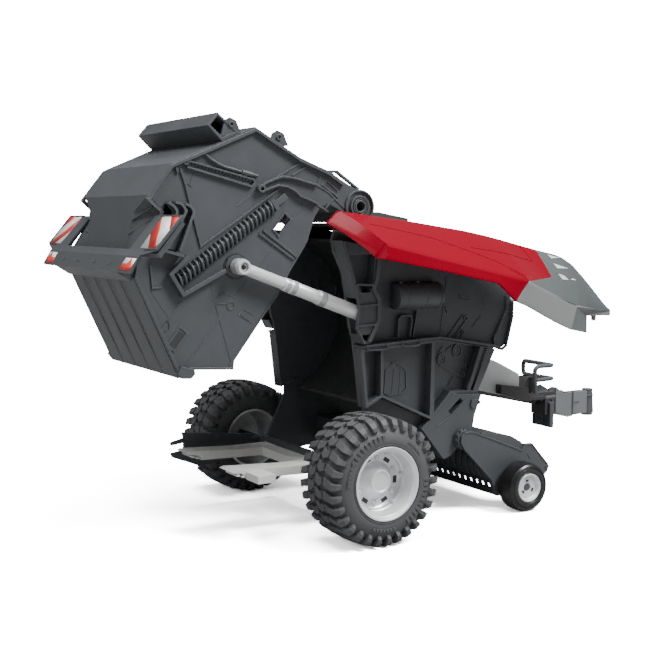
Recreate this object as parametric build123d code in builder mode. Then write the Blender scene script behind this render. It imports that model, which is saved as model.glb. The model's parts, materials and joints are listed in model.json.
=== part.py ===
from build123d import *
import os
from math import cos, degrees, hypot, radians, sin, tan

# A toy round baler, about one sixteenth of a real one, with its tailgate raised.
# X runs forward to the hitch, Y to the left and Z up. Z = 0 is the ground.
# Points in the side view are (forward of the axle, height above the ground).
# "Out" is the distance from the middle of the baler to either side. Pieces that come in
# pairs are made on the right and mirrored.

os.makedirs("parts", exist_ok=True)

# ------------------------------------------------------------------ driving sizes
tyre_r = 37.5
tyre_width = 38.0
tyre_gap = 11.4  # between a big tyre and the side of the body
rim_r = 20.0
axle_r = 3.0
gauge_r = 15.65
gauge_x = 124.4
gauge_width = 14.0
gauge_offset = 15.7  # outer face of a gauge wheel beyond the pickup's side plate
shell_out = 50.0  # outer face of the chamber walls and of the tailgate's sides
wall = 2.5  # thickness of those walls
panel = 2.0  # thickness of the other panels
rib = 1.5  # thickness of ribs, lips and shelves
pillar_depth = 11.0  # how far the pillars stand out from the shell
bend_x = 74.0  # ahead of here the body's sides turn inwards
nose_x = 138.0
nose_narrowing = 13.5  # how much narrower each side is at the nose
pivot_x = 12.0
pivot_z = 193.8
pin_r = 4.0
pin_gap = 0.2  # play between any pin and its bore
seam = 0.9  # gap between the closed tailgate and the chamber walls
closing_angle = 43.7  # how far the raised tailgate drops to close
eye_x = -70.3
eye_z = 160.2
trunnion_x = 12.0
trunnion_z = 129.4
cylinder_gap = 5.6  # middle of the cylinders beyond the shell
barrel_r = 4.3
eye_r = 3.9
door_angle = 55.0  # how far a side door lifts
door_wall = 1.4
door_hinge_x = -5.0
door_hinge_z = 179.5
door_slope = 8.5  # degrees that the door's hinge line drops towards the front
pickup_overhang = 12.0  # outer face of the pickup's side plates beyond the shell
pickup_pivot = (85.6, 48.0)
hitch_x = 247.5
hitch_r = 4.3
hitch_bore_r = 1.8
jack_travel = 12.0
tail_reach = 141.6  # how far the raised tailgate reaches behind the axle

inner = shell_out - wall
body_out = shell_out + pillar_depth
nose_out = shell_out - nose_narrowing
cylinder_out = shell_out + cylinder_gap
door_hinge_out = shell_out
pickup_out = shell_out + pickup_overhang
gauge_out = pickup_out + gauge_offset
tyre_out = shell_out + tyre_gap + tyre_width
axle_z = tyre_r
gauge_z = gauge_r
axle_x = (tail_reach - hitch_x - hitch_r) / 2  # the origin is under the middle of the toy

# ------------------------------------------------------------------ helpers
side = Plane(origin=(axle_x, 0, 0), x_dir=(1, 0, 0), z_dir=(0, -1, 0))


def cross(x):
    """The plane across the baler at x, whose sketches read (out to the right, height)."""
    return Plane(origin=(axle_x + x, 0, 0), x_dir=(0, -1, 0), z_dir=(-1, 0, 0))


def outline(plane, points):
    with BuildSketch(plane) as shape:
        with BuildLine():
            Polyline(*points, close=True)
        make_face()
    return shape.sketch


def slab(points, from_out, to_out, mode=Mode.ADD):
    """A flat piece with this side view, between two distances to the right."""
    extrude(outline(side.offset(from_out), points), amount=to_out - from_out, mode=mode)


def sheet(points, thickness, from_out, to_out, turn=Side.RIGHT, mode=Mode.ADD):
    """A bent sheet that follows the points in the side view."""
    with BuildSketch(side.offset(from_out)) as shape:
        with BuildLine():
            Polyline(*points)
            offset(amount=thickness, side=turn, kind=Kind.INTERSECTION, closed=True)
        make_face()
    extrude(shape.sketch, amount=to_out - from_out, mode=mode)


def bar(x, z, radius, from_out, to_out, mode=Mode.ADD):
    """A round bar along Y."""
    with BuildSketch(side.offset(from_out)) as shape:
        with Locations((x, z)):
            Circle(radius)
    extrude(shape.sketch, amount=to_out - from_out, mode=mode)


def rod(start, end, radius, out, mode=Mode.ADD):
    """A round bar between two points of the side view, at one distance out."""
    run = (end[0] - start[0], end[1] - start[1])
    root = Plane(origin=(axle_x + start[0], -out, start[1]), z_dir=(run[0], 0, run[1]))
    with BuildSketch(root) as shape:
        Circle(radius)
    extrude(shape.sketch, amount=hypot(*run), mode=mode)


def block(x, z, out, length, height, width, mode=Mode.ADD):
    """A block by its middle in the side view, its distance out and its three sizes."""
    with Locations((axle_x + x, -out, z)):
        Box(length, width, height, mode=mode)


def flank_line(out):
    """The plan of the body's side at this distance out, which turns inwards past the bend."""
    reach = nose_x + 12
    turn_in = (shell_out - nose_out) * (reach - bend_x) / (nose_x - bend_x)
    return [(-60, -out), (bend_x, -out), (reach, turn_in - out)]


def flank(from_out, to_out):
    """Keeps what lies between two distances out on the right, along the body's side."""
    points = flank_line(from_out) + flank_line(to_out)[::-1]
    extrude(outline(Plane(origin=(axle_x, 0, 0)), points), amount=tail_reach * 2,
            mode=Mode.INTERSECT)


def between_flanks(out):
    """Keeps what lies between the body's two sides, at this distance out behind the bend."""
    points = flank_line(out)
    points += [(x, -y) for x, y in points[::-1]]
    extrude(outline(Plane(origin=(axle_x, 0, 0)), points), amount=tail_reach * 2,
            mode=Mode.INTERSECT)


def turned(point, angle):
    """A side-view point turned about the tailgate's pivot, positive to lower it."""
    dx = point[0] - pivot_x
    dz = point[1] - pivot_z
    c = cos(radians(angle))
    s = sin(radians(angle))
    return (pivot_x + dx * c - dz * s, pivot_z + dx * s + dz * c)


def along(start, end, distance):
    """The point this far from start towards end."""
    share = distance / hypot(end[0] - start[0], end[1] - start[1])
    return (start[0] + (end[0] - start[0]) * share, start[1] + (end[1] - start[1]) * share)


def wheel(x, z, points):
    """A half section (out, radius) turned about a wheel's centre line."""
    plane = Plane(origin=(axle_x + x, 0, z), x_dir=(0, -1, 0), z_dir=(-1, 0, 0))
    revolve(outline(plane, points), axis=Axis((axle_x + x, 0, z), (0, 1, 0)))


def save(piece, name):
    piece.part.label = name
    export_step(piece.part, f"parts/{name}.step")


# ------------------------------------------------------------------ big wheels
tyre_in = tyre_out - tyre_width
rim_lip_r = rim_r + 1.2
shoulder = 5.0
seat = 0.1  # the rim sits this far inside the tyre's bead
hub_r = 5.2
dish_out = tyre_out - 21.0
disc = 3.0

with BuildPart() as tyre_right:
    wheel(0, axle_z, [
        (tyre_in + 2, rim_r), (tyre_in, rim_r + 3), (tyre_in, tyre_r - 9),
        (tyre_in + shoulder, tyre_r - 1), (tyre_in + tyre_width / 2, tyre_r),
        (tyre_out - shoulder, tyre_r - 1), (tyre_out, tyre_r - 9),
        (tyre_out, rim_r + 3), (tyre_out - 2, rim_r)])

with BuildPart() as rim_right:
    wheel(0, axle_z, [
        (tyre_in + 2, rim_r - seat), (tyre_out - 2, rim_r - seat), (tyre_out - 0.4, rim_r + 1.0),
        (tyre_out + 0.6, rim_lip_r), (tyre_out + 1.2, rim_lip_r - 1.4), (tyre_out, rim_r - 1.6),
        (dish_out + 3, rim_r - 3.4), (dish_out, rim_r - 7), (dish_out, hub_r + 2),
        (dish_out + 5, hub_r), (dish_out + 5, axle_r + pin_gap),
        (dish_out - disc, axle_r + pin_gap), (dish_out - disc, rim_r - 5),
        (tyre_in + 2, rim_r - 2.4)])

# ------------------------------------------------------------------ gauge wheels
gauge_bead = 9.4
gauge_pin_r = 2.0

with BuildPart() as gauge_tyre_right:
    wheel(gauge_x, gauge_z, [
        (gauge_out - gauge_width, gauge_bead), (gauge_out - gauge_width, gauge_r - 1.2),
        (gauge_out - gauge_width + 1.2, gauge_r), (gauge_out - 1.2, gauge_r),
        (gauge_out, gauge_r - 1.2), (gauge_out, gauge_bead)])

with BuildPart() as gauge_hub_right:
    wheel(gauge_x, gauge_z, [
        (gauge_out - gauge_width + 1, gauge_pin_r + pin_gap),
        (gauge_out - gauge_width + 1, gauge_bead - seat), (gauge_out - 0.4, gauge_bead - seat),
        (gauge_out - 0.4, gauge_bead - 1.4), (gauge_out - 2.4, gauge_bead - 3),
        (gauge_out - 2.4, gauge_pin_r + pin_gap)])

# ------------------------------------------------------------------ chamber walls
# The rear edge of each wall, which the closed tailgate's front edge follows.
seam_line = [(-4.9, 180.3), (-6.9, 174.6), (-5.6, 167.6), (0.6, 154.7), (2.7, 141.7),
             (5.5, 122.7), (7.6, 116.7), (9.8, 101.1), (13.0, 73.5)]
apex = (24.5, 79.4)
low_corner = (61.0, 62.6)
knee = (76.6, 77.4)
low_front = (102.0, 75.4)
chin = (124.0, 101.0)
brow = (26.0, 184.0)  # the rear top corner of the body
brow_front = (136.0, 161.0)

with BuildPart() as chamber_wall_right:
    slab(seam_line + [apex, low_corner, knee, low_front, chin, (126, 103.2), (132, 101.4),
                      (135.6, 103), (141.6, 121), (142, 132), brow_front, brow, (20, 184),
                      (15, 179)],
         nose_out - wall, shell_out)
    flank(inner, shell_out)

with BuildPart() as chamber_front:
    with BuildSketch(side.offset(-inner)) as arch:
        with BuildLine():
            outside = ThreePointArc((24, 174), (60, 118), (24, 72))
            inside = ThreePointArc((24, 172), (58, 118), (24, 74))
            Line(outside @ 0, inside @ 0)
            Line(outside @ 1, inside @ 1)
        make_face()
    extrude(arch.sketch, amount=2 * inner)

with BuildPart() as roof_panel:
    sheet([brow, (80, 177), brow_front, (137, 136)], panel, -inner, inner)
    between_flanks(inner)

with BuildPart() as front_panel:
    sheet([(134, 133), (119, 103), (99, 78)], panel, -inner, inner)
    between_flanks(inner)

with BuildPart() as hinge_shaft:
    bar(pivot_x, pivot_z, pin_r, -shell_out - 2, shell_out + 2)
    bar(pivot_x, pivot_z, pin_r - 1.2, -shell_out - 2, shell_out + 2, Mode.SUBTRACT)

with BuildPart() as shaft_blocks:
    for out in (-42, 38):
        slab([(23.9, 174.2), (25, 178), (20, 199), (5, 199), (5, 188)], out, out + 4)
        bar(pivot_x, pivot_z, pin_r, out, out + 4, Mode.SUBTRACT)

# ------------------------------------------------------------------ side pillars
pillar_rear = [(-7, 174.2), (-3.7, 163.2), (2.6, 143.4), (4.7, 133), (2.6, 122.5), (8.2, 113)]
pillar_front = [(12, 113), (20, 126.4), (20, 139.3), (15.1, 143), (18.5, 151), (19.9, 163),
                (17, 170)]
pocket = [(-2, 166), (3.4, 150), (7, 143.5), (13, 143.5), (15.4, 152), (16.4, 166)]
low_pocket = [(9, 114.6), (11.4, 114.6), (15, 118.4), (6, 118.4)]
cavity = [(0, 119), (17, 119), (18.5, 126), (18.5, 140), (0, 140)]

with BuildPart() as pillar_right:
    slab(pillar_rear + pillar_front, shell_out, body_out)
    for cut in (pocket, low_pocket):
        slab(cut, shell_out + 3, body_out, Mode.SUBTRACT)
    slab(cavity, shell_out, cylinder_out + barrel_r + pin_gap / 2, Mode.SUBTRACT)

# ------------------------------------------------------------------ body sides
shelf = [(8.5, 111.6), (67, 114.2), (123, 104.6)]
tank_z = 139.8
tank_r = 8.0
tank_rear = 35.0
tank_front = 67.5
lip_out = shell_out + 7.0

with BuildPart() as side_tanks:
    for hand in (-1, 1):
        rod((tank_rear, tank_z), (tank_front, tank_z), tank_r,
            hand * (shell_out + tank_r / 2 - 0.5))
    block((tank_rear + tank_front) / 2, tank_z, 0, 2 * (tank_front - tank_rear), 3 * tank_r,
          2 * shell_out, Mode.SUBTRACT)

with BuildPart() as side_shelf_right:
    sheet(shelf, rib, nose_out - 4, body_out)
    flank(shell_out, lip_out + 1)

# The open channel that stands down the front edge of the body's side.
with BuildPart() as front_channel_right:
    sheet([(137, 136), (137.6, 126), (124.4, 107.4), (126, 103.2), (132, 101.4), (135.6, 103),
           (141.6, 121), (142, 132)], rib, nose_out - 4, body_out, Side.LEFT)
    flank(shell_out, shell_out + 2)

# Each pocket of the ribbed lower side, as its outline inside the ribs.
side_pockets = [
    [(11.6, 107.6), (13.8, 80), (15, 76.6), (23.4, 80.6), (23.4, 108.2)],
    [(25.2, 80.6), (60.0, 64.8), (61.4, 110.4), (25.2, 108.6)],
    [(63.4, 66.6), (76, 79.2), (92.6, 78), (104.6, 105.2), (67, 111), (63.4, 110.6)],
    [(95, 77.6), (98, 77.4), (111.4, 103.6), (108.4, 104)],
]
with BuildPart() as lower_side_right:
    slab([seam_line[-1], apex, low_corner, knee, low_front, (119.6, 102.6), (67, 112.4),
          (9.0, 109.9)], nose_out - 4, lip_out)
    for cut in side_pockets:
        slab(cut, nose_out - 4, lip_out, Mode.SUBTRACT)
    flank(shell_out, lip_out)

# ------------------------------------------------------------------ lower frame and axle
hip = (66.0, 50.0)
with BuildPart() as frame_plate_right:
    slab([(-9, 30), (-9, 41), (2.2, 41.6), (15.8, 69.3), (15.8, 74.9), apex, low_corner,
          (60, 58.5), hip, (66, 34), (14, 30)], inner, shell_out)
    bar(0, axle_z, axle_r, inner, shell_out, Mode.SUBTRACT)

bracket_out = shell_out + 6.0
with BuildPart() as lower_bracket_right:
    slab([(54.5, 57.3), low_corner, knee, (101.6, 75.2), (96.3, 62.1), (94.4, 51.1), (77, 37.5),
          (72, 36)], shell_out, bracket_out)
    slab([(75.4, 66.4), (77.6, 64.2), (86.8, 71.8), (84.6, 74.0)], shell_out, bracket_out,
         Mode.SUBTRACT)
    bar(*pickup_pivot, pin_r + 2.6, shell_out, bracket_out)
    bar(*pickup_pivot, pin_r + pin_gap, shell_out, bracket_out, Mode.SUBTRACT)

axle_beam_r = 4.6
with BuildPart() as axle:
    bar(0, axle_z, axle_r, -dish_out - 3.4, dish_out + 3.4)
    bar(0, axle_z, axle_beam_r, -inner, inner)

with BuildPart() as cross_member:
    slab([(40, 52), (62, 52), (62, 40), (40, 36)], -inner, inner)

# ------------------------------------------------------------------ forks behind the axle
fork_out = shell_out - 19.0
fork_width = 14.5
fork_top = axle_z + 1.7
fork_under = axle_z - 3.9
fork_side = [(-2, fork_top + 0.2), (-30, fork_top + 0.4), (-66, fork_top + 2.4),
             (-68.8, fork_top + 1.7), (-66, fork_top + 0.3), (-61, fork_top - 0.1),
             (-56, fork_under + 1.8), (-2, fork_under)]
with BuildPart() as bale_forks:
    for hand in (-1, 1):
        slab(fork_side, hand * fork_out - fork_width / 2, hand * fork_out + fork_width / 2)
    block(-52.5, axle_z, fork_out + fork_width / 2 + 7.5, 11.5, 4.5, 15)
    slab([(-14, fork_top), (-2, fork_top), (-2, fork_under), (-14, fork_under)], -fork_out, fork_out)
    bar(0, axle_z, axle_beam_r, -inner, inner, Mode.SUBTRACT)

with BuildPart() as catch_plate:
    slab([(-9, 43.5), (-60, 49.5), (-59, 45.5), (-68, 43.6), (-68, 41.4), (-59, 42.6),
          (-59, 37.8), (-68, 36.4), (-67, 33.6), (-54, 28.6), (-48, 26), (-9, 31)],
         -shell_out, -inner)

# ------------------------------------------------------------------ drawbar and hitch
beam_out = 8.0
head_out = 6.0
neck_out = 3.6  # half the width of the arm just behind the eye
# Open boxes in the hitch arm, behind the eye: rear end, front end and half width.
head_pockets = [(-29, -21.5, head_out - panel), (-18.5, -8.5, neck_out - 1.6)]
deck_near = 20.0  # the deck's right edge, and its left edge on the other side
deck_far = -25.0
deck_step = 8.0  # the right edge of the deck's narrow front half
deck_x = hitch_x - 77.5
deck_z = 62.4
deck_under = 60.0
jack_x = hitch_x - 54.0
deck_front = hitch_x - 38.5
jack_width = 19.0
jack_height = 18.0

with BuildPart() as drawbar_beam:
    slab([(62, 62), (62, 58), (104, 60), (124, 69.2), (jack_x - 3.5, 54.2),
          (jack_x - 3.5, deck_under), (deck_x - 0.2, deck_under), (deck_x - 0.2, 66.5),
          (deck_x - 20, 70.5), (120, 74.5), (97.6, 74)], -beam_out, beam_out)

gusset_top = (119.0, 100.0)
gusset_reach = deck_x - 1 - gusset_top[0]
web_z = 70.2
web_front = 112 + 0.32 * gusset_reach
with BuildPart() as drawbar_gussets:
    for out in (-beam_out - 4 - panel, beam_out + 4):
        slab([(101, 77), gusset_top, (gusset_top[0] + 0.62 * gusset_reach, 88),
              (deck_x - 1, 78.6), (deck_x - 1, 61.5),
              (gusset_top[0] + 0.46 * gusset_reach, 67.5), (gusset_top[0] + 4, 72), (108, 72)],
             out, out + panel)
    slab([(112, web_z + 2), (web_front, web_z + 2), (web_front, web_z), (112, web_z)],
         -beam_out - 4, beam_out + 4)
    slab([(112, web_z + 2), (web_front, web_z + 2), (web_front, web_z), (112, web_z)],
         -beam_out, beam_out, Mode.SUBTRACT)

with BuildPart() as drawbar_deck:
    with BuildSketch(Plane(origin=(axle_x, 0, deck_under))) as deck_plan:
        with BuildLine():
            Polyline((deck_x, -deck_near), (jack_x - 4, -deck_near), (jack_x - 4, -deck_step),
                     (deck_front, -deck_step), (deck_front, -deck_far), (deck_x, -deck_far),
                     close=True)
        make_face()
    extrude(deck_plan.sketch, amount=deck_z - deck_under)
    slab([(deck_x, deck_under), (deck_x, 67), (deck_x + 3, 67), (deck_x + 3, deck_under)],
         deck_far, deck_near)
    for near in (-beam_out - 12, beam_out + 6):
        slab([(deck_x - 22, 66.7), (deck_x - 22, 72.9), (deck_x + 3, 69.2), (deck_x + 3, deck_under),
              (deck_x - 1, deck_under)], near, near + 6)
    slab([(deck_x + 6, deck_z), (deck_x + 14, 72), (deck_x + 16, 73.6), (jack_x, 73.6),
          (jack_x, deck_z)], -3, 4)
    slab([(deck_front - 12, deck_z), (deck_front - 6, 70.6), (deck_front, 70.6),
          (deck_front, deck_z)], deck_far, deck_far + 4)
    block(jack_x - 1.85, 54, jack_width / 2 + 1, 3.3, 12, jack_width - 4)

with BuildPart() as hitch:
    with BuildSketch(Plane(origin=(axle_x + hitch_x, 0, 41))) as foot:
        Circle(hitch_r)
    extrude(foot.sketch, amount=14.5, taper=3.0)
    with Locations((axle_x + hitch_x, 0, 57.5)):
        Cylinder(3.0, 5)
    slab([(hitch_x - 49.5, 60), (hitch_x - 20, 59.8), (hitch_x - 20, 42.3), (hitch_x - 25.5, 42.1),
          (deck_front, 46.9), (hitch_x - 49.5, 52)], -head_out, head_out)
    slab([(hitch_x - 20, 59.6), (hitch_x - 3.5, 59.5), (hitch_x - 3.5, 43), (hitch_x - 20, 42.3)],
         -neck_out, neck_out)
    for left, right, out in head_pockets:
        slab([(hitch_x + left, 61), (hitch_x + right, 61), (hitch_x + right, 46),
              (hitch_x + left, 46)], -out, out, Mode.SUBTRACT)
    slab([(deck_front + 0.2, 47), (deck_front + 0.2, 65.4), (hitch_x - 30.5, 60.5),
          (hitch_x - 25.5, 42.1)], head_out, head_out + panel)
    with Locations((axle_x + hitch_x, 0, 50)):
        Cylinder(hitch_bore_r, 30, mode=Mode.SUBTRACT)

# The wire frame that holds the hoses stands on the deck.
hose_rod_r = 1.2
with BuildPart() as hose_holder:
    for height in (71.8, 81.2):
        block(deck_front - 2.6, height, (deck_step + deck_far) / 2, 2 * hose_rod_r, 2 * hose_rod_r,
              deck_step - deck_far)
        block(deck_front - 10.6, height, deck_step - hose_rod_r, 16, 2 * hose_rod_r, 2 * hose_rod_r)
    block(deck_front - 18.6, deck_z + 10, deck_step - hose_rod_r, 2 * hose_rod_r, 20, 2 * hose_rod_r)
    block(deck_front - 2.6, 77.2, deck_far + hose_rod_r, 2 * hose_rod_r, 10.4, 2 * hose_rod_r)

# ------------------------------------------------------------------ parking jack
with BuildPart() as jack_leg:
    block(jack_x + 1.5, 39 + jack_height / 2, jack_width / 2 + 1, 3, jack_height, jack_width)

# ------------------------------------------------------------------ tailgate sides
seam_turn = degrees(seam / 80)
tail_seam = [turned(point, -closing_angle - seam_turn) for point in seam_line]
tail_top = [(4.0, 207.0), (-9.6, 214.6), (-28.1, 221.6), (-57.5, 238.0), (-89.0, 224.5),
            (-107.8, 216.6)]
rear_high = (-121.7, 199.5)
rear_fold = (-131.4, 155.5)
rear_low = (-105.8, 99.4)
boss_r = 10.2
eye_boss_r = 6.2
eye_in = cylinder_out - barrel_r
roof_end = along(tail_top[4], tail_top[5], 10)
upper_end = along(rear_high, rear_fold, 36)
corner_low = along(rear_high, rear_fold, 29.8)
corner_mid = (-115.4, 190.6)
corner_high = (-121.3, 198.8)

with BuildPart() as tailgate_side_right:
    slab([(12, 184.6)] + tail_seam + [(-71.9, 102.6), (-99.8, 104.5), rear_low, rear_fold,
                                      corner_low, corner_mid, rear_high]
         + tail_top[::-1] + [(12, 203)], inner, shell_out)
    bar(pivot_x, pivot_z, boss_r, inner, shell_out)
    bar(pivot_x, pivot_z, pin_r + pin_gap, inner, shell_out, Mode.SUBTRACT)
    slab([(-37.8, 190.1), (-34.5, 186.7), (-42.4, 177.4), (-46.3, 179.9)], inner, shell_out,
         Mode.SUBTRACT)
    bar(eye_x, eye_z, eye_boss_r, shell_out, eye_in - pin_gap)

with BuildPart() as tailgate_roof:
    sheet([(-6, 212.6)] + tail_top[1:5] + [roof_end], panel, -inner, inner, Side.LEFT)

# Each rear corner is cut back between the panel and the side, in rows going up: how far in
# from the side the cut begins on the panel, and where it meets the side.
corner_rows = [(19.0, corner_low), (16.0, corner_mid), (3.0, corner_high)]

with BuildPart() as upper_rear_panel:
    sheet([roof_end, tail_top[5], rear_high, upper_end], panel, -inner, inner, Side.LEFT)
    for hand in (-1, 1):
        cut = [(hand * (shell_out - back), z) for back, (x, z) in corner_rows]
        cut += [(hand * shell_out, corner_high[1]), (hand * shell_out, corner_low[1])]
        extrude(outline(cross(-tail_reach), cut), amount=-tail_reach / 4, mode=Mode.SUBTRACT)
        rows = []
        for back, (x, z) in corner_rows:
            level = (rear_high[1] - z) / (rear_high[1] - rear_fold[1])
            start = rear_high[0] + level * (rear_fold[0] - rear_high[0])
            deep = -hand * (shell_out - back - 0.4)
            rows.append(outline(Plane(origin=(axle_x, 0, z)), [
                (start + panel, deep), (x + panel, -hand * inner), (x, -hand * inner), (start, deep)]))
        loft(rows, ruled=True)

with BuildPart() as lower_rear_panel:
    sheet([upper_end, rear_fold, rear_low], panel, -inner, inner, Side.LEFT)

board_line = [(-tail_reach, 159.2), (-136.8, 167.4), (-133.0, 171.0), (-118.2, 188.6)]
with BuildPart() as rear_ledge:
    slab([upper_end, board_line[2], board_line[1], board_line[0], (-132.5, 153.4), rear_fold],
         -shell_out, shell_out)

beam_foot = [along(tail_top[4], tail_top[3], distance) for distance in (12, 24)]
with BuildPart() as top_beam:
    slab(beam_foot + [(-80.5, 245), (-86.8, 237.7)], -shell_out, shell_out)
    slab([(-77.4, 231.6), (-70, 234.8), (-80.4, 243.0), (-84.8, 237.8)], -shell_out, shell_out,
         Mode.SUBTRACT)

board_tip = shell_out + 36.0
board_low_tip = shell_out + 21.4
with BuildPart() as marker_board_right:
    sheet(board_line, rib, shell_out, board_tip)
    mask = [(shell_out, 150), (board_low_tip, 150), (board_low_tip, 168.0), (board_tip - 1.4, 170.6),
            (board_tip, 192), (shell_out, 192)]
    extrude(outline(cross(-150), mask), amount=-60, mode=Mode.INTERSECT)

arm_line = [(-53.5, 206), (-41.7, 211.1), (-28.1, 209.3), (-17.5, 207.2), (-17.5, 199.6),
            (-29.3, 203.5), (-35, 206.1), (-40.6, 206.3), (-50.6, 202.2)]
with BuildPart() as tension_arms:
    for out in (-shell_out - 3, shell_out):
        slab(arm_line, out, out + 3)

spring_r = 3.2
with BuildPart() as tension_springs:
    for hand in (-1, 1):
        rod((-103.9, 153.6), (-42.2, 193.6), spring_r, hand * (shell_out + spring_r))

# ------------------------------------------------------------------ tailgate cylinders
# Three stages: the barrel turns on its trunnion in the pillar, a tube slides in the barrel
# and a rod in the tube. The rod's eye sits on the tailgate's boss.
trunnion = (trunnion_x, trunnion_z)
eye = (eye_x, eye_z)
open_length = hypot(eye_x - trunnion_x, eye_z - trunnion_z)
closed_eye = turned(eye, closing_angle)
closed_length = hypot(closed_eye[0] - trunnion_x, closed_eye[1] - trunnion_z)
barrel_length = closed_length - eye_r - 1.1
rod_length = 33.0
rod_shown = 29.0
tube_length = 33.0
tube_wall = 0.45
slip = 0.08
tube_r = barrel_r - tube_wall
inner_rod_r = tube_r - tube_wall

with BuildPart() as cylinder_barrel_right:
    rod(along(trunnion, eye, -1.5), along(trunnion, eye, barrel_length), barrel_r, cylinder_out)
    rod(trunnion, along(trunnion, eye, barrel_length), tube_r + slip, cylinder_out, Mode.SUBTRACT)

with BuildPart() as cylinder_tube_right:
    mouth = along(trunnion, eye, open_length - rod_shown)
    tail = along(mouth, trunnion, tube_length)
    rod(tail, mouth, tube_r, cylinder_out)
    rod(tail, mouth, inner_rod_r + slip, cylinder_out, Mode.SUBTRACT)

with BuildPart() as cylinder_rod_right:
    rod(along(eye, trunnion, rod_length), eye, inner_rod_r, cylinder_out)
    bar(eye_x, eye_z, eye_r, eye_in, body_out + 0.6)
    bar(eye_x, eye_z, eye_r - 1.2, cylinder_out, body_out + 0.6, Mode.SUBTRACT)

# ------------------------------------------------------------------ side doors
slope = radians(door_slope)
# Cross sections of the lifted right door: place forward, then (distance out from the shell,
# height) of the ridge, of the crease above the lower strip and of the strip's rim.
door_sections = [
    (-15.0, (7, 191.8), (40.5, 176.8), (42, 167.6)),
    (44.0, (7, 185.2), (40.5, 163.5), (42, 156.5)),
    (85.0, (7, 179.4), (40.5, 154.3), (42, 148.2)),
    (98.6, (7, 176.9), (40.3, 151.5), (42, 136.9)),
    (110.4, (7, 174.4), (40, 148.7), (39, 133.2)),
    (143.0, (7, 167.2), (28.9, 138.0), (30.0, 122.2)),
    (161.0, (7, 163.2), (23.6, 131.9), (24.7, 115.9)),
    (167.5, (7, 161.0), (21.8, 129.9), (20.8, 113.8)),
    (176.0, (7, 156.6), (17.2, 127.7), (17.4, 112.3)),
    (185.5, (7, 148.8), (12.4, 125.2), (13.9, 110.8)),
    (186.5, (7, 147.9), (12.1, 125.1), (12.2, 122.8)),
    (210.5, (5.5, 125.6), (8.6, 124.2), (8.9, 122.4)),
]
# The joint between the door's skin and its nose passes through these points of the sheet,
# and the rear end is cut off slanting (forward, out from the shell, height).
nose_joint = [(143.0, 7, 166.8), (110.4, 40, 148.7), (98.6, 42, 136.9)]
rear_cut = [(-10.5, 0, 186), (-9.5, 7, 190), (3.0, 40.5, 170.0)]


def door_skin(sections):
    """The door's bent sheet lofted through its cross sections."""
    faces = []
    for x, ridge, crease, rim in sections:
        hinge_z = min(door_hinge_z - (x - door_hinge_x) * tan(slope), ridge[1] - door_wall)
        with BuildSketch(cross(x)) as ring:
            with BuildLine():
                Polyline((door_hinge_out + 0.6, hinge_z + 1.2),
                         *[(shell_out + out, height) for out, height in (ridge, crease, rim)])
                offset(amount=door_wall, side=Side.RIGHT, kind=Kind.INTERSECTION, closed=True)
            make_face()
        faces.append(ring.sketch)
    return faces


def through(points):
    """The plane through three points (forward, out from the shell on the right, height)."""
    first, second, third = [Vector(axle_x + x, -shell_out - out, z) for x, out, z in points]
    return Plane(origin=first, x_dir=second - first, z_dir=(second - first).cross(third - first))


with BuildPart() as door_right:
    loft(door_skin(door_sections), ruled=True)
    split(bisect_by=through(nose_joint), keep=Keep.BOTTOM)
    split(bisect_by=through(rear_cut), keep=Keep.TOP)

with BuildPart() as door_nose_right:
    loft(door_skin(door_sections), ruled=True)
    split(bisect_by=through(nose_joint), keep=Keep.TOP)

# ------------------------------------------------------------------ pickup
plate = 2.5
plate_in = pickup_out - plate
comb_pitch = 6.2
comb_windows = 19
comb_window_width = 4.4
comb_window_height = 3.2
comb_window_z = 15.4
comb_x = 106.0
reel_x = 124.4
reel_z = 27.0

with BuildPart() as pickup_side_right:
    slab([(81.2, 46.5), (81.4, 50.8), (84.0, 53.2), (90.3, 53.2), (107.9, 46.5), (130.7, 37.2),
          (133.9, 40.5), (139.8, 40.5), (153.6, 25.6), (153.2, 20.5), (138, 9), (comb_x + 4.5, 9),
          (comb_x, 20), (94, 32), (84.0, 42.0)], plate_in, pickup_out)
    slab([(98, 50.2), (103, 50.6), (113, 48.4), (124, 45.4), (132.9, 40.8), (130.7, 37.2)],
         plate_in, pickup_out - 1.4)
    bar(*pickup_pivot, pin_r + 2, bracket_out + 0.3, plate_in)
    bar(*pickup_pivot, pin_r, shell_out, plate_in)
    bar(gauge_x, gauge_z, gauge_pin_r, plate_in, gauge_out - 3)

with BuildPart() as pickup_guard:
    slab([(99, 50.5), (104, 51.5), (124, 46.5), (133, 41.6), (131, 40), (123, 44.3), (104, 49.2)],
         -plate_in, plate_in)

with BuildPart() as pickup_comb:
    slab([(comb_x + 4.5, 9), (comb_x, 20), (comb_x + 2.4, 20), (comb_x + 5.8, 11.5),
          (comb_x + 10, 11.5), (comb_x + 10, 9)], -plate_in, plate_in)
    slab([(comb_x, 20), (comb_x + 3, 27), (comb_x + 3, 40), (comb_x + 5, 40), (comb_x + 5, 26),
          (comb_x + 2, 20)], -plate_in, plate_in)
    with Locations((axle_x + comb_x + 3, 0, comb_window_z)):
        with GridLocations(1, comb_pitch, 1, comb_windows):
            Box(7, comb_window_width, comb_window_height, mode=Mode.SUBTRACT)

with BuildPart() as pickup_reel:
    bar(reel_x, reel_z, 5.0, -plate_in + 0.3, plate_in - 0.3)
    for turn in (0, 90):
        with Locations(Location((axle_x + reel_x, 0, reel_z), (0, turn, 0))):
            Box(22, 2 * plate_in - 8, 1.6)

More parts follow.
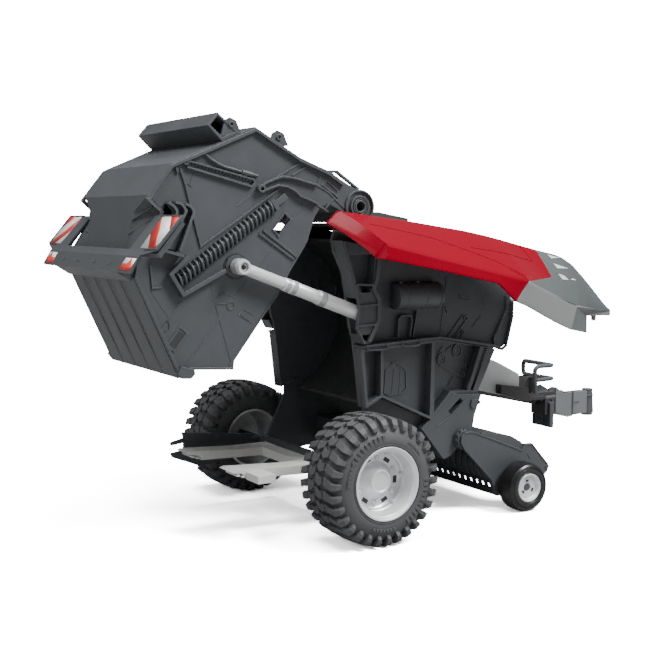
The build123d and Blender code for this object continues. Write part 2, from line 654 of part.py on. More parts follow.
# ------------------------------------------------------------------ export
pairs = {
    "tyre": tyre_right, "rim": rim_right, "gauge_tyre": gauge_tyre_right,
    "gauge_hub": gauge_hub_right, "chamber_wall": chamber_wall_right,
    "tailgate_side": tailgate_side_right, "marker_board": marker_board_right,
    "cylinder_barrel": cylinder_barrel_right, "cylinder_tube": cylinder_tube_right,
    "cylinder_rod": cylinder_rod_right, "pickup_side": pickup_side_right,
}
for name, piece in pairs.items():
    save(piece, name + "_right")
    with BuildPart() as other:
        mirror(piece.part, about=Plane.XZ)
    save(other, name + "_left")

shared_pairs = {
    "pillars": pillar_right, "side_shelves": side_shelf_right,
    "front_channels": front_channel_right, "lower_sides": lower_side_right,
    "frame_plates": frame_plate_right, "lower_brackets": lower_bracket_right,
}
for name, piece in shared_pairs.items():
    with BuildPart() as two:
        add(piece.part)
        mirror(piece.part, about=Plane.XZ)
    save(two, name)

left_hinge = Axis((axle_x + door_hinge_x, door_hinge_out, door_hinge_z), (cos(slope), 0, -sin(slope)))
for name, piece in {"door": door_right, "door_nose": door_nose_right}.items():
    save(piece, name + "_right")
    with BuildPart() as other:
        add(piece.part.mirror(Plane.XZ).rotate(left_hinge, -door_angle))
    save(other, name + "_left")

singles = {
    "chamber_front": chamber_front, "roof_panel": roof_panel, "front_panel": front_panel,
    "hinge_shaft": hinge_shaft, "shaft_blocks": shaft_blocks, "side_tanks": side_tanks,
    "axle": axle, "cross_member": cross_member, "bale_forks": bale_forks,
    "catch_plate": catch_plate, "drawbar_beam": drawbar_beam, "drawbar_gussets": drawbar_gussets,
    "drawbar_deck": drawbar_deck, "hitch": hitch, "hose_holder": hose_holder,
    "jack_leg": jack_leg, "tailgate_roof": tailgate_roof, "upper_rear_panel": upper_rear_panel,
    "lower_rear_panel": lower_rear_panel, "rear_ledge": rear_ledge, "top_beam": top_beam,
    "tension_arms": tension_arms, "tension_springs": tension_springs,
    "pickup_guard": pickup_guard, "pickup_comb": pickup_comb, "pickup_reel": pickup_reel,
}
for name, piece in singles.items():
    save(piece, name)
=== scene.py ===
import json
import math

import bmesh
import bpy
from bpy.props import FloatProperty, FloatVectorProperty, IntProperty, PointerProperty
from mathutils import Matrix, Vector


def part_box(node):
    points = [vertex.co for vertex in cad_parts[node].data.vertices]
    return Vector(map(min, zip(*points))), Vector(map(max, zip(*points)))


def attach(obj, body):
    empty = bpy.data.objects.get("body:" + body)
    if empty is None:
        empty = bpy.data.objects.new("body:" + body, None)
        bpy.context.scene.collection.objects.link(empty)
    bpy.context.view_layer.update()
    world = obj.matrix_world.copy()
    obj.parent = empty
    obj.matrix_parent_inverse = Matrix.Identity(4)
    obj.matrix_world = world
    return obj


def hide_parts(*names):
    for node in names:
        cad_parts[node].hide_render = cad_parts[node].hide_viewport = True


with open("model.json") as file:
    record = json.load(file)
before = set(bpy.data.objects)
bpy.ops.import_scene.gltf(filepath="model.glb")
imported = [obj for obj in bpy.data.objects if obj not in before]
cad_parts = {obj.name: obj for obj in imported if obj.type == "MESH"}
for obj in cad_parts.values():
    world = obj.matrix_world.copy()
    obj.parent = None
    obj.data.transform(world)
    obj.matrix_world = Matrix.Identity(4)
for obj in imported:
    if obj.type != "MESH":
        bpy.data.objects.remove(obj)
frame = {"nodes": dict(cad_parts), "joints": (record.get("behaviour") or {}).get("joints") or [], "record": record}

bl_info = {
    "name": "Toy Round Baler",
    "version": (1, 0, 0),
    "blender": (4, 5, 0),
    "location": "View3D > Sidebar > Baler",
    "description": "Finishes, tread, ribs, doors, springs and hoses of a toy round baler",
    "category": "Object",
}

MM = 0.001
RIGHT = -1
LEFT = 1
HANDS = {"right": RIGHT, "left": LEFT}
AXLE = (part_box("axle")[0].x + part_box("axle")[1].x) / 2
SHELL = -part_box("chamber_wall_right")[0].y / MM  # outer face of the body's side walls
JOINTS = {joint["name"]: joint for joint in frame["joints"]}
BEND = 74.0  # ahead of here the body's sides turn inwards
TURN_IN = 13.5 / 64.0  # by this much for each millimetre ahead
PIVOT = (12.0, 193.8)  # the tailgate's hinge in the side view
EYE = (-70.3, 160.2)  # where a cylinder's rod holds the tailgate
TRUNNION = (12.0, 129.4)  # where its barrel turns
CYLINDER_OUT = SHELL + 5.6  # the cylinders' distance out
DOOR_DROP = math.radians(8.5)  # the doors' hinge lines fall towards the front
DOOR_LIFT = math.radians(55)  # how far a lifted door stands above a shut one
HITCH_X = 247.5  # the hitch's eye, ahead of the axle
WELD = 1e-7  # corners closer than this, in metres, become one
PART_EDGE = 0.00035  # rounding of the moulded parts' edges
SOFT = 0.0002  # rounding of most small pieces' edges
DOOR_THICK = 0.0013
DOOR_RIM = 0.0003  # rounding of the doors' edges
FILM = 0.00008  # thickness of a print
LUG_ROOT = 3.2  # how far a lug reaches into the tyre


# ---------------------------------------------------------------- sizes and colours
class BalerFinish(bpy.types.PropertyGroup):
    dark: FloatVectorProperty(name="Dark plastic", description="Moulded body plastic",
                              default=(0.056, 0.0615, 0.068), subtype="COLOR")
    red: FloatVectorProperty(name="Red", description="Gloss of the side doors",
                             default=(0.215, 0.0, 0.010), subtype="COLOR")
    nose: FloatVectorProperty(name="Nose grey", description="Grey front end of the doors",
                              default=(0.086, 0.099, 0.099), subtype="COLOR")
    nose_light: FloatVectorProperty(name="Nose light grey", description="Lower strip of the nose",
                                    default=(0.185, 0.194, 0.188), subtype="COLOR")
    light: FloatVectorProperty(name="Light grey plastic", description="Forks and drawbar",
                               default=(0.62, 0.62, 0.605), subtype="COLOR")
    silver: FloatVectorProperty(name="Silver", description="Wheel rims and cylinders",
                                default=(0.74, 0.75, 0.76), subtype="COLOR")
    rubber: FloatVectorProperty(name="Rubber", description="Tyres",
                                default=(0.064, 0.066, 0.070), subtype="COLOR")
    grain: FloatProperty(name="Grain", description="Depth of the moulded grain",
                         default=0.00006, unit="LENGTH")


class BalerTread(bpy.types.PropertyGroup):
    lugs: IntProperty(name="Lugs", description="Tread lugs round a big tyre", default=30, min=8)
    lug_height: FloatProperty(name="Lug height", description="How far a lug stands proud",
                              default=0.0022, unit="LENGTH")


class BalerView(bpy.types.PropertyGroup):
    azimuth: FloatProperty(name="Azimuth", description="Camera turn round the baler",
                           default=math.radians(-31.26), subtype="ANGLE")
    elevation: FloatProperty(name="Elevation", description="Camera height angle",
                             default=math.radians(5.3), subtype="ANGLE")
    distance: FloatProperty(name="Distance", description="Camera to target",
                            default=0.73899, unit="LENGTH")
    target: FloatVectorProperty(name="Target", description="Point the camera looks at",
                                default=(-0.03642, 0.0, 0.11904), subtype="XYZ")
    lens: FloatProperty(name="Lens", description="Focal length in millimetres", default=64.02)
    ambient: FloatProperty(name="Ambient light", description="Light from all round", default=0.25)
    backdrop: FloatProperty(name="Backdrop", description="Brightness of the white backdrop", default=18.0)
    floor_gain: FloatProperty(name="Floor", description="Brightness of the floor near the baler",
                              default=12.0)


# ---------------------------------------------------------------- places and meshes
def at(x, out, z, hand):
    """A point by its distance ahead of the axle, out to one side and up, in millimetres."""
    return Vector((AXLE + x * MM, hand * out * MM, z * MM))


def flank(x, out):
    """The distance out of a point that keeps to the body's side, which turns in past the bend."""
    return out - max(0.0, x - BEND) * TURN_IN


def moulded(name, bm, body, bevel=0.0):
    """A finished piece of the dark moulded plastic."""
    return make(name, bm, body, "dark", bevel)


def mesh_of(bm, name, weld=0.0, orient=True):
    """The mesh of a bmesh, which is freed."""
    if weld:
        bmesh.ops.remove_doubles(bm, verts=bm.verts, dist=weld)
    if orient:
        bmesh.ops.recalc_face_normals(bm, faces=bm.faces)
    mesh = bpy.data.meshes.new(name)
    bm.to_mesh(mesh)
    bm.free()
    return mesh


def make(name, bm, body, paint, bevel=0.0, segments=2, smooth=35):
    """A finished piece from a bmesh, in a paint of the table below, riding on its body."""
    return dress(name, mesh_of(bm, name, weld=WELD), body, paint, bevel, segments, smooth)


def dress(name, mesh, body, paint, bevel=0.0, segments=2, smooth=35):
    """A finished piece from a mesh."""
    mesh.materials.clear()
    mesh.materials.append(paint_of(paint))
    piece = bpy.data.objects.new(name, mesh)
    bpy.context.scene.collection.objects.link(piece)
    mesh.shade_smooth()
    mesh.set_sharp_from_angle(angle=math.radians(smooth))
    if bevel:
        round_edges(piece, bevel, segments, smooth)
    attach(piece, body)
    return piece


def round_edges(piece, width, segments, limit):
    """Rounds the edges sharper than a limit in degrees."""
    edge = piece.modifiers.new("Rounded edges", "BEVEL")
    edge.width = width
    edge.segments = segments
    edge.limit_method = "ANGLE"
    edge.angle_limit = math.radians(limit)
    edge.harden_normals = True
    edge.use_clamp_overlap = True


def prism(bm, points, d0, d1, hand, follow=False):
    """A flat piece with this side view between two distances out; follow bends it with the side."""
    geometry = bmesh.new()
    base = [geometry.verts.new((x, 0, z)) for x, z in points]
    geometry.faces.new(base)
    bmesh.ops.triangulate(geometry, faces=geometry.faces)
    if follow:
        bmesh.ops.bisect_plane(geometry, geom=geometry.verts[:] + geometry.edges[:] + geometry.faces[:],
                               plane_co=(BEND, 0, 0), plane_no=(1, 0, 0), dist=1e-4)
    bmesh.ops.dissolve_limit(geometry, angle_limit=0.01, verts=geometry.verts, edges=geometry.edges)
    if follow:
        bmesh.ops.bisect_plane(geometry, geom=geometry.verts[:] + geometry.edges[:] + geometry.faces[:],
                               plane_co=(BEND, 0, 0), plane_no=(1, 0, 0), dist=1e-4)
    copy = {}
    for level, d in enumerate((d0, d1)):
        for v in geometry.verts:
            out = flank(v.co.x, d) if follow else d
            copy[v, level] = bm.verts.new(at(v.co.x, out, v.co.z, hand))
    for face in geometry.faces:
        bm.faces.new([copy[v, 0] for v in face.verts])
        bm.faces.new([copy[v, 1] for v in reversed(face.verts)])
    for edge in geometry.edges:
        if len(edge.link_faces) == 1:
            a, b = edge.verts
            bm.faces.new((copy[a, 0], copy[b, 0], copy[b, 1], copy[a, 1]))
    geometry.free()


def rib(bm, points, width, d0, d1, hand, follow=False, closed=False):
    """A raised rib of this width along points of the side view, mitred at its corners."""
    count = len(points)
    left, right = [], []
    for i, (x, z) in enumerate(points):
        before = points[i - 1] if (i or closed) else None
        after = points[(i + 1) % count] if (i < count - 1 or closed) else None
        run = [Vector((b[0] - a[0], b[1] - a[1])).normalized()
               for a, b in ((before, (x, z)), ((x, z), after)) if a and b]
        way = (run[0] + run[-1]).normalized()
        normal = Vector((-way.y, way.x))
        reach = width / 2 / max(0.35, normal.dot(Vector((-run[0].y, run[0].x))))
        left.append((x + normal.x * reach, z + normal.y * reach))
        right.append((x - normal.x * reach, z - normal.y * reach))
    for i in range(count if closed else count - 1):
        j = (i + 1) % count
        prism(bm, [left[i], left[j], right[j], right[i]], d0, d1, hand, follow)


def ribs(bm, table, foot, hand, follow=False):
    """Ribs from a table of points, width and height above the side; they stand on the foot."""
    for points, width, height in table:
        rib(bm, points, width, SHELL + foot, SHELL + height, hand, follow)


def disc(x, z, radius, sides=24, start=0.0):
    """Points of a circle in the side view."""
    return [(x + radius * math.cos(start + math.tau * i / sides),
             z + radius * math.sin(start + math.tau * i / sides)) for i in range(sides)]


def bridge(bm, rings, loop=False, capped=False):
    """Faces from each ring of vertices to the next, and from the last to the first in a loop."""
    for a, b in zip(rings, rings[1:] + (rings[:1] if loop else [])):
        for i in range(len(a)):
            j = (i + 1) % len(a)
            bm.faces.new((a[i], a[j], b[j], b[i]))
    if capped:
        bm.faces.new(rings[0][::-1])
        bm.faces.new(rings[-1])


def ring(bm, x, z, outer, inner, d0, d1, hand, follow=False, sides=32):
    """A round raised ring on a side face."""
    rings = []
    for radius, d in ((inner, d0), (outer, d0), (outer, d1), (inner, d1)):
        rings.append([bm.verts.new(at(px, flank(px, d) if follow else d, pz, hand))
                      for px, pz in disc(x, z, radius, sides)])
    bridge(bm, rings, loop=True)


def lathe(bm, profile, x, z, hand, sides, edge):
    """A closed half section (distance in from the edge, radius) turned about a line along Y."""
    bridge(bm, [[bm.verts.new(at(px, edge - deep, pz, hand)) for px, pz in disc(x, z, radius, sides)]
                for deep, radius in profile], loop=True)


def wheel_place(name):
    """A wheel part's outer face, place ahead of the axle and height, in millimetres."""
    low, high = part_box(name)
    x = (low.x + high.x) / 2 / MM - AXLE / MM
    return max(abs(low.y), abs(high.y)) / MM, x, (low.z + high.z) / 2 / MM


def hoop(bm, middle, across, over, radius, sides):
    """A ring of vertices round a point given in metres."""
    return [bm.verts.new(middle + radius * MM * (across * math.cos(math.tau * k / sides)
                                                 + over * math.sin(math.tau * k / sides)))
            for k in range(sides)]


def tube(bm, points, radius, sides):
    """A round bar with closed ends along points given in metres."""
    rings = []
    up = Vector((0.13, 0.29, 1.0)).normalized()
    for i, point in enumerate(points):
        before = points[max(i - 1, 0)]
        after = points[min(i + 1, len(points) - 1)]
        way = (after - before).normalized()
        across = way.cross(up).normalized()
        up = across.cross(way).normalized()
        rings.append(hoop(bm, point, across, up, radius, sides))
    bridge(bm, rings, capped=True)


def smooth_path(points, steps):
    """Points on a smooth line through the given ones."""
    out = []
    count = len(points)
    for i in range(count - 1):
        p0, p1 = points[max(i - 1, 0)], points[i]
        p2, p3 = points[i + 1], points[min(i + 2, count - 1)]
        for k in range(steps):
            t = k / steps
            out.append(0.5 * ((2 * p1) + (p2 - p0) * t + (2 * p0 - 5 * p1 + 4 * p2 - p3) * t * t
                              + (3 * p1 - p0 - 3 * p2 + p3) * t ** 3))
    out.append(points[-1])
    return out


# ---------------------------------------------------------------- finishes
def feed(tree, node, inputs):
    """Sets a node's inputs; one that is given as a socket is linked instead."""
    for key, value in inputs.items():
        if isinstance(value, bpy.types.NodeSocket):
            tree.links.new(value, node.inputs[key])
        else:
            node.inputs[key].default_value = value


def add_node(tree, kind, inputs=None, **settings):
    """The outputs of a new node with these settings and inputs."""
    node = tree.nodes.new(kind)
    for key, value in settings.items():
        setattr(node, key, value)
    feed(tree, node, inputs or {})
    return node.outputs


def map_range(tree, value, **limits):
    """A value brought to a new range; from_min stands for the input From Min, and so on."""
    inputs = {key.replace("_", " ").title(): limit for key, limit in limits.items()}
    return add_node(tree, "ShaderNodeMapRange", {"Value": value, **inputs})["Result"]


def blend(tree, factor, first, second):
    """A mix of two colours, each a value or a socket."""
    inputs = {"Factor": factor, "A": first, "B": second}
    return add_node(tree, "ShaderNodeMix", inputs, data_type="RGBA")["Result"]


def shade(colour, gain, lift=0.0):
    """A colour made darker or brighter, with its alpha."""
    return (*[min(1.0, c * gain + lift) for c in colour], 1)


def new_material(name):
    """A material and its node tree."""
    material = bpy.data.materials.new(name)
    material.use_nodes = True
    return material, material.node_tree


def finish_of(name, colour, rough, grain_scale=2600.0, grain=0.5, vary=0.16, coat=0.0, metal=0.0,
              specular=0.5, marks=0.0, edge_highlight=0.0):
    """A moulded plastic or rubber: fine grain, uneven sheen, slight wear and a painted highlight along its edges,
    all in 3-D.
    """
    if name in bpy.data.materials:
        return bpy.data.materials[name]
    material, tree = new_material(name)
    place = add_node(tree, "ShaderNodeTexCoord")["Object"]
    cloud = add_node(tree, "ShaderNodeTexNoise", {"Vector": place, "Scale": 60.0, "Detail": 4.0})["Fac"]
    fine = add_node(tree, "ShaderNodeTexNoise", {"Vector": place, "Scale": grain_scale, "Detail": 3.0,
                                                 "Roughness": 0.6})["Fac"]
    last = blend(tree, cloud, shade(colour, 1 - vary), shade(colour, 1 + vary))
    if marks:
        scuff = map_range(tree, fine, from_min=0.56, from_max=0.72, to_max=marks)
        last = blend(tree, scuff, last, shade(colour, 1.7, 0.02))
    if edge_highlight:
        # painted highlight: the moulding's edges are painted lighter, as if they caught the light, where the
        # rounded normal leaves the flat one
        rounded = add_node(tree, "ShaderNodeBevel", {"Radius": 0.45 * MM}, samples=6)
        flat = add_node(tree, "ShaderNodeNewGeometry")
        agree = add_node(tree, "ShaderNodeVectorMath", {0: rounded["Normal"], 1: flat["Normal"]},
                         operation="DOT_PRODUCT")
        edge = map_range(tree, agree["Value"], from_min=0.995, from_max=0.80, to_max=edge_highlight)
        last = blend(tree, edge, last, shade(colour, 2.6, 0.03))
    sheen = map_range(tree, cloud, to_min=max(0.02, rough - 0.07), to_max=min(1.0, rough + 0.09))
    bump = add_node(tree, "ShaderNodeBump", {"Height": fine, "Strength": grain,
                                             "Distance": bpy.context.scene.baler_finish.grain})
    feed(tree, tree.nodes["Principled BSDF"], {
        "Base Color": last, "Roughness": sheen, "Normal": bump["Normal"], "Metallic": metal,
        "Coat Weight": coat, "Coat Roughness": 0.08, "Specular IOR Level": specular})
    return material


# name, colour or the panel's setting that holds it, roughness and what differs from the plain finish
PAINTS = {
    # the dark plastic carries a painted highlight along its edges
    "dark": ("Dark moulded plastic", "dark", 0.50,
             dict(grain_scale=2200, grain=0.55, marks=0.10, edge_highlight=0.55)),
    # black: the black parts, and also the painted shade in slots, grooves, a bore and openings
    "black": ("Black moulded plastic", (0.030, 0.030, 0.032), 0.50, dict(grain=0.4)),
    "red": ("Red gloss", "red", 0.24,
            dict(grain_scale=900, grain=0.05, vary=0.03, coat=0.06, specular=0.10)),
    "nose": ("Nose grey paint", "nose", 0.34, dict(grain_scale=1500, grain=0.12, vary=0.05)),
    "nose_light": ("Nose light grey paint", "nose_light", 0.36,
                   dict(grain_scale=1500, grain=0.12, vary=0.05)),
    "light": ("Light grey plastic", "light", 0.46, dict(grain=0.35, vary=0.10)),
    # painted light: the mid and pale greys are the dark body plastic painted lighter, as the hitch and the
    # drawbar's gussets look where light falls on them
    "mid": ("Mid grey plastic", (0.135, 0.145, 0.15), 0.48,
            dict(grain_scale=2200, grain=0.45, vary=0.10)),
    "pale": ("Pale moulded plastic", (0.48, 0.49, 0.495), 0.48, dict(grain=0.35, vary=0.10)),
    "silver": ("Silver plastic", "silver", 0.36,
               dict(grain_scale=3200, grain=0.25, vary=0.05, metal=0.35)),
    "brushed": ("Brushed metal paint", (0.42, 0.43, 0.44), 0.38,
                dict(grain_scale=3200, grain=0.25, vary=0.08, metal=0.35)),
    "hard_tyre": ("Hard black tyre", (0.010, 0.010, 0.011), 0.30,
                  dict(grain_scale=1400, grain=0.12, vary=0.1)),
    "speckled": ("Speckled silver", "silver", 0.34,
                 dict(grain_scale=900, grain=0.9, vary=0.12, metal=0.4, marks=0.2)),
    "rubber": ("Tyre rubber", "rubber", 0.62, dict(grain_scale=1800, grain=0.6, vary=0.22, marks=0.18)),
    "print_white": ("White print", (0.80, 0.80, 0.80), 0.32, dict(grain=0.05, vary=0.02)),
    "print_red": ("Red print", (0.60, 0.035, 0.02), 0.32, dict(grain=0.05, vary=0.03)),
}


def paint_of(key):
    """The material of a paint in the table."""
    name, colour, rough, more = PAINTS[key]
    if isinstance(colour, str):
        colour = getattr(bpy.context.scene.baler_finish, colour)
    return finish_of(name, colour, rough, **more)


# ---------------------------------------------------------------- repeats in Geometry Nodes
def repeat_tree(name, round_axis):
    """A node tree that repeats its input mesh round a line along Y, or in a straight row."""
    tree = bpy.data.node_groups.new(name, "GeometryNodeTree")
    for socket, kind in (("Geometry", "Geometry"), ("Count", "Int"), ("Centre", "Vector"),
                         ("Step", "Vector"), ("Material", "Material")):
        tree.interface.new_socket(socket, in_out="INPUT", socket_type="NodeSocket" + kind)
    tree.interface.new_socket("Geometry", in_out="OUTPUT", socket_type="NodeSocketGeometry")
    given = add_node(tree, "NodeGroupInput")
    seed, spread, turned = given["Geometry"], {"Offset": given["Step"]}, {}
    if round_axis:
        spread = {"Offset": (0, 0, 0), "Start Location": given["Centre"]}
        index = add_node(tree, "GeometryNodeInputIndex")
        angle = add_node(tree, "ShaderNodeVectorMath", {0: given["Step"], "Scale": index[0]},
                         operation="SCALE")
        turned = {"Rotation": add_node(tree, "FunctionNodeEulerToRotation",
                                       {"Euler": angle["Vector"]})["Rotation"]}
        back = add_node(tree, "ShaderNodeVectorMath", {0: given["Centre"], "Scale": -1.0},
                        operation="SCALE")
        seed = add_node(tree, "GeometryNodeTransform", {"Geometry": seed,
                                                        "Translation": back["Vector"]})["Geometry"]
    row = add_node(tree, "GeometryNodeMeshLine", {"Count": given["Count"], **spread})
    copies = add_node(tree, "GeometryNodeInstanceOnPoints", {"Points": row["Mesh"], "Instance": seed,
                                                             **turned})
    real = add_node(tree, "GeometryNodeRealizeInstances", {"Geometry": copies["Instances"]})
    paint = add_node(tree, "GeometryNodeSetMaterial", {"Geometry": real["Geometry"],
                                                       "Material": given["Material"]})
    add_node(tree, "NodeGroupOutput", {"Geometry": paint["Geometry"]})
    return tree


def repeated(bm, paint, count, step, centre=None):
    """The mesh of a bmesh repeated by Geometry Nodes, turned about centre or stepped in a row."""
    name = "Repeat round an axle" if centre is not None else "Repeat in a row"
    tree = bpy.data.node_groups.get(name) or repeat_tree(name, centre is not None)
    holder = bpy.data.objects.new("seed", mesh_of(bm, "seed", weld=WELD))
    bpy.context.scene.collection.objects.link(holder)
    repeat = holder.modifiers.new("Repeat", "NODES")
    repeat.node_group = tree
    values = {"Count": count, "Centre": tuple(centre or (0, 0, 0)), "Step": tuple(step),
              "Material": paint_of(paint)}
    for socket in tree.interface.items_tree:
        if socket.in_out == "INPUT" and socket.name in values:
            repeat[socket.identifier] = values[socket.name]
    holder.update_tag()
    graph = bpy.context.evaluated_depsgraph_get()
    mesh = bpy.data.meshes.new_from_object(holder.evaluated_get(graph))
    bpy.data.objects.remove(holder)
    return mesh


def joined(meshes):
    """One mesh from several."""
    bm = bmesh.new()
    for mesh in meshes:
        bm.from_mesh(mesh)
    return mesh_of(bm, "joined", orient=False)


# ---------------------------------------------------------------- operators
class EachSide:
    """Makes an operator's pieces on the right, then on the left."""

    def execute(self, context):
        for side, hand in HANDS.items():
            self.build(side, hand)
        return {"FINISHED"}


SLOT_PAINTS = {"light_grey": "light", "silver": "silver", "red": "red", "tyre": "rubber"}
# painted light: the drawbar's gussets and the hitch are painted pale and mid grey, lighter than their dark
# plastic, where light falls on them
NODE_PAINTS = {"drawbar_gussets": "pale", "hitch": "mid", "drawbar_deck": "black",
               "chamber_front": "black", "pickup_comb": "black"}


class BALER_OT_finish(bpy.types.Operator):
    """Gives every moulded part its plastic and softens its edges"""

    bl_idname = "baler.finish"
    bl_label = "Moulded parts"

    def execute(self, context):
        slots = {part["node"]: part["material_slot"] for part in frame["record"]["subparts"]}
        for name, node in frame["nodes"].items():
            paint = paint_of(NODE_PAINTS.get(name) or SLOT_PAINTS.get(slots.get(name), "dark"))
            node.data.materials.clear()
            node.data.materials.append(paint)
            weld = node.modifiers.new("Weld", "WELD")
            weld.merge_threshold = 0.00001
            round_edges(node, PART_EDGE, 2, 30)
        return {"FINISHED"}


# (name, place, size, power)
LAMPS = [("key", (0.70, -0.95, 1.50), 0.7, 52.0), ("top", (-0.45, -0.20, 1.70), 1.2, 38.0),
         ("rear", (-1.5, -0.45, 0.80), 0.9, 3.5)]


class BALER_OT_stage(bpy.types.Operator):
    """Sets the pale floor, the soft lights and the camera"""

    bl_idname = "baler.stage"
    bl_label = "Stage"

    def execute(self, context):
        view = context.scene.baler_view
        bm = bmesh.new()
        bmesh.ops.create_grid(bm, x_segments=2, y_segments=2, size=6.0)
        mesh = mesh_of(bm, "floor", orient=False)
        mesh.materials.append(self.paper(view))
        self.place("floor", mesh)
        world = bpy.data.worlds.new("Studio")
        world.use_nodes = True
        tree = world.node_tree
        seen = add_node(tree, "ShaderNodeLightPath")["Is Camera Ray"]
        glow = map_range(tree, seen, to_min=view.ambient, to_max=view.backdrop)
        feed(tree, tree.nodes["Background"], {"Color": (1, 1, 1, 1), "Strength": glow})
        context.scene.world = world
        target = Vector(view.target)
        for name, spot, size, power in LAMPS:
            lamp = bpy.data.lights.new(name, "AREA")
            lamp.shape = "DISK"
            lamp.size = size
            lamp.energy = power
            holder = self.place(name, lamp, spot)
            holder.rotation_euler = (target - Vector(spot)).to_track_quat("-Z", "Y").to_euler()
        a, e = view.azimuth, view.elevation
        back = Vector((math.sin(a) * math.cos(e), -math.cos(a) * math.cos(e), math.sin(e)))
        eye = bpy.data.cameras.new("camera")
        eye.sensor_width = 36.0
        eye.lens = view.lens
        eye.clip_start = 0.01
        camera = self.place("camera", eye, target + back * view.distance)
        camera.rotation_mode = "QUATERNION"
        camera.rotation_quaternion = (-back).to_track_quat("-Z", "Y")
        context.scene.camera = camera
        return {"FINISHED"}

    def place(self, name, data, location=(0, 0, 0)):
        """An object of the stage."""
        holder = bpy.data.objects.new(name, data)
        holder.location = location
        bpy.context.scene.collection.objects.link(holder)
        return holder

    def paper(self, view):
        """White paper: shadows lie near the baler and fade into the backdrop's white."""
        material, tree = new_material("Floor paper")
        tree.nodes.clear()
        seen = add_node(tree, "ShaderNodeLightPath")["Is Camera Ray"]
        bright = map_range(tree, seen, to_min=0.33, to_max=view.floor_gain)
        shaded = add_node(tree, "ShaderNodeBsdfDiffuse", {"Color": bright})
        white = add_node(tree, "ShaderNodeEmission", {"Strength": view.backdrop})
        place = add_node(tree, "ShaderNodeTexCoord")
        reach = add_node(tree, "ShaderNodeVectorMath", {0: place["Object"]}, operation="LENGTH")
        fade = add_node(tree, "ShaderNodeMapRange", {"Value": reach["Value"], "From Min": 0.20,
                                                     "From Max": 0.48},
                        interpolation_type="SMOOTHSTEP")
        far = add_node(tree, "ShaderNodeMath", {0: fade["Result"], 1: seen}, operation="MULTIPLY")
        mix = add_node(tree, "ShaderNodeMixShader", {"Fac": far["Value"], 1: shaded["BSDF"],
                                                     2: white["Emission"]})
        add_node(tree, "ShaderNodeOutputMaterial", {"Surface": mix["Shader"]})
        return material


# A big tyre's outer wall: (distance in from the outer face, drop below the foot of the lugs).
TYRE_WALL = [(9.0, 0.4), (5.0, 1.6), (2.6, 4.0), (1.0, 7.0), (0.1, 10.0), (0.1, 12.2), (0.8, 13.8),
             (2.2, 15.0)]
# Sections across a lug: distance from the tyre's middle, turn at its two edges in degrees, drop
# of its top below the tread's radius and how far its foot leans to the middle.
LUG_ROWS = [
    [(0.4, 0.0, 7.4, 0.0, 0.0), (4.0, 3.4, 10.8, 0.0, 0.0), (7.5, 1.8, 8.8, 0.1, 0.0)],
    [(8.9, 2.0, 9.0, 0.1, 0.0), (16.6, 5.8, 12.2, 0.9, 0.8),
     (18.6, 6.2, 11.8, 3.6, 2.4), (18.9, 6.8, 11.2, 5.8, 2.6)],
]


class BALER_OT_tyres(EachSide, bpy.types.Operator):
    """Makes the big tyres with their staggered tread lugs"""

    bl_idname = "baler.tyres"
    bl_label = "Big tyres"

    def build(self, side, hand):
        tread = bpy.context.scene.baler_tread
        node = "tyre_" + side
        edge, _, axle_z = wheel_place(node)
        low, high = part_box(node)
        width = (high.y - low.y) / MM
        middle = edge - width / 2
        radius = (high.z - low.z) / 2 / MM
        base = radius - tread.lug_height / MM
        bm = bmesh.new()
        near = [(width / 2, base)] + [(deep, base - drop) for deep, drop in TYRE_WALL]
        inside = [(4.0, near[-1][1]), (width - 4.0, near[-1][1])]
        far = [(width - deep, r) for deep, r in near[:0:-1]]
        lathe(bm, near + inside + far, 0, axle_z, hand, 96, edge)
        ring(bm, 0, axle_z, base - 12.6, base - 13.3, edge - 1.2, edge + 0.2, hand, sides=96)
        centre = at(0, 0, axle_z, hand)
        parts = [mesh_of(bm, node)]
        for flip, shift in ((1, 0.0), (-1, 180.0 / tread.lugs)):
            lug = bmesh.new()
            for rows in LUG_ROWS:
                sections = []
                for off, start, stop, drop, sink in rows:
                    corners = ((off, radius - drop, start), (off, radius - drop, stop),
                               (off - sink, radius - drop - LUG_ROOT, stop),
                               (off - sink, radius - drop - LUG_ROOT, start))
                    sections.append([lug.verts.new(at(r * math.cos(math.radians(turn + shift)),
                                                      middle + flip * across,
                                                      axle_z + r * math.sin(math.radians(turn + shift)),
                                                      hand)) for across, r, turn in corners])
                bridge(lug, sections, capped=True)
            step = (0, math.tau / tread.lugs, 0)
            parts.append(repeated(lug, "rubber", tread.lugs, step, centre))
        piece = dress("big_tyre_" + side, joined(parts), "wheel_" + side, "rubber",
                      SOFT, 1, 24)
        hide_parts(node)


# Cross sections of the lifted door's sheet: place forward, then (out, height) of the ridge,
# of the crease above the lower strip and of the rim.
DOOR_SECTIONS = [
    (-15.0, (57, 192.0), (90.5, 177.0), (92, 167.6)), (5.0, (57, 189.8), (90.5, 172.3), (92, 163.7)),
    (44.0, (57, 185.2), (90.5, 163.5), (92, 156.5)), (85.0, (57, 179.4), (90.5, 154.3), (92, 148.2)),
    (98.6, (57, 176.9), (90.3, 151.5), (92, 136.9)), (110.4, (57, 174.4), (90, 148.7), (88.8, 133.1)),
    (143.0, (57, 166.9), (78.9, 138.0), (79.3, 120.9)), (161.0, (57, 163.2), (73.6, 131.9), (73.5, 115.0)),
    (167.5, (57, 160.9), (71.8, 129.9), (72.0, 113.0)), (176.0, (57, 156.2), (67.2, 127.7), (68.0, 112.0)),
    (186.0, (57, 147.8), (61.8, 125.2), (62.4, 110.8)), (197.0, (57, 137.6), (60.4, 124.9), (60.4, 122.0)),
    (211.5, (55.8, 123.9), (58.2, 124.2), (58.4, 122.0)),
]
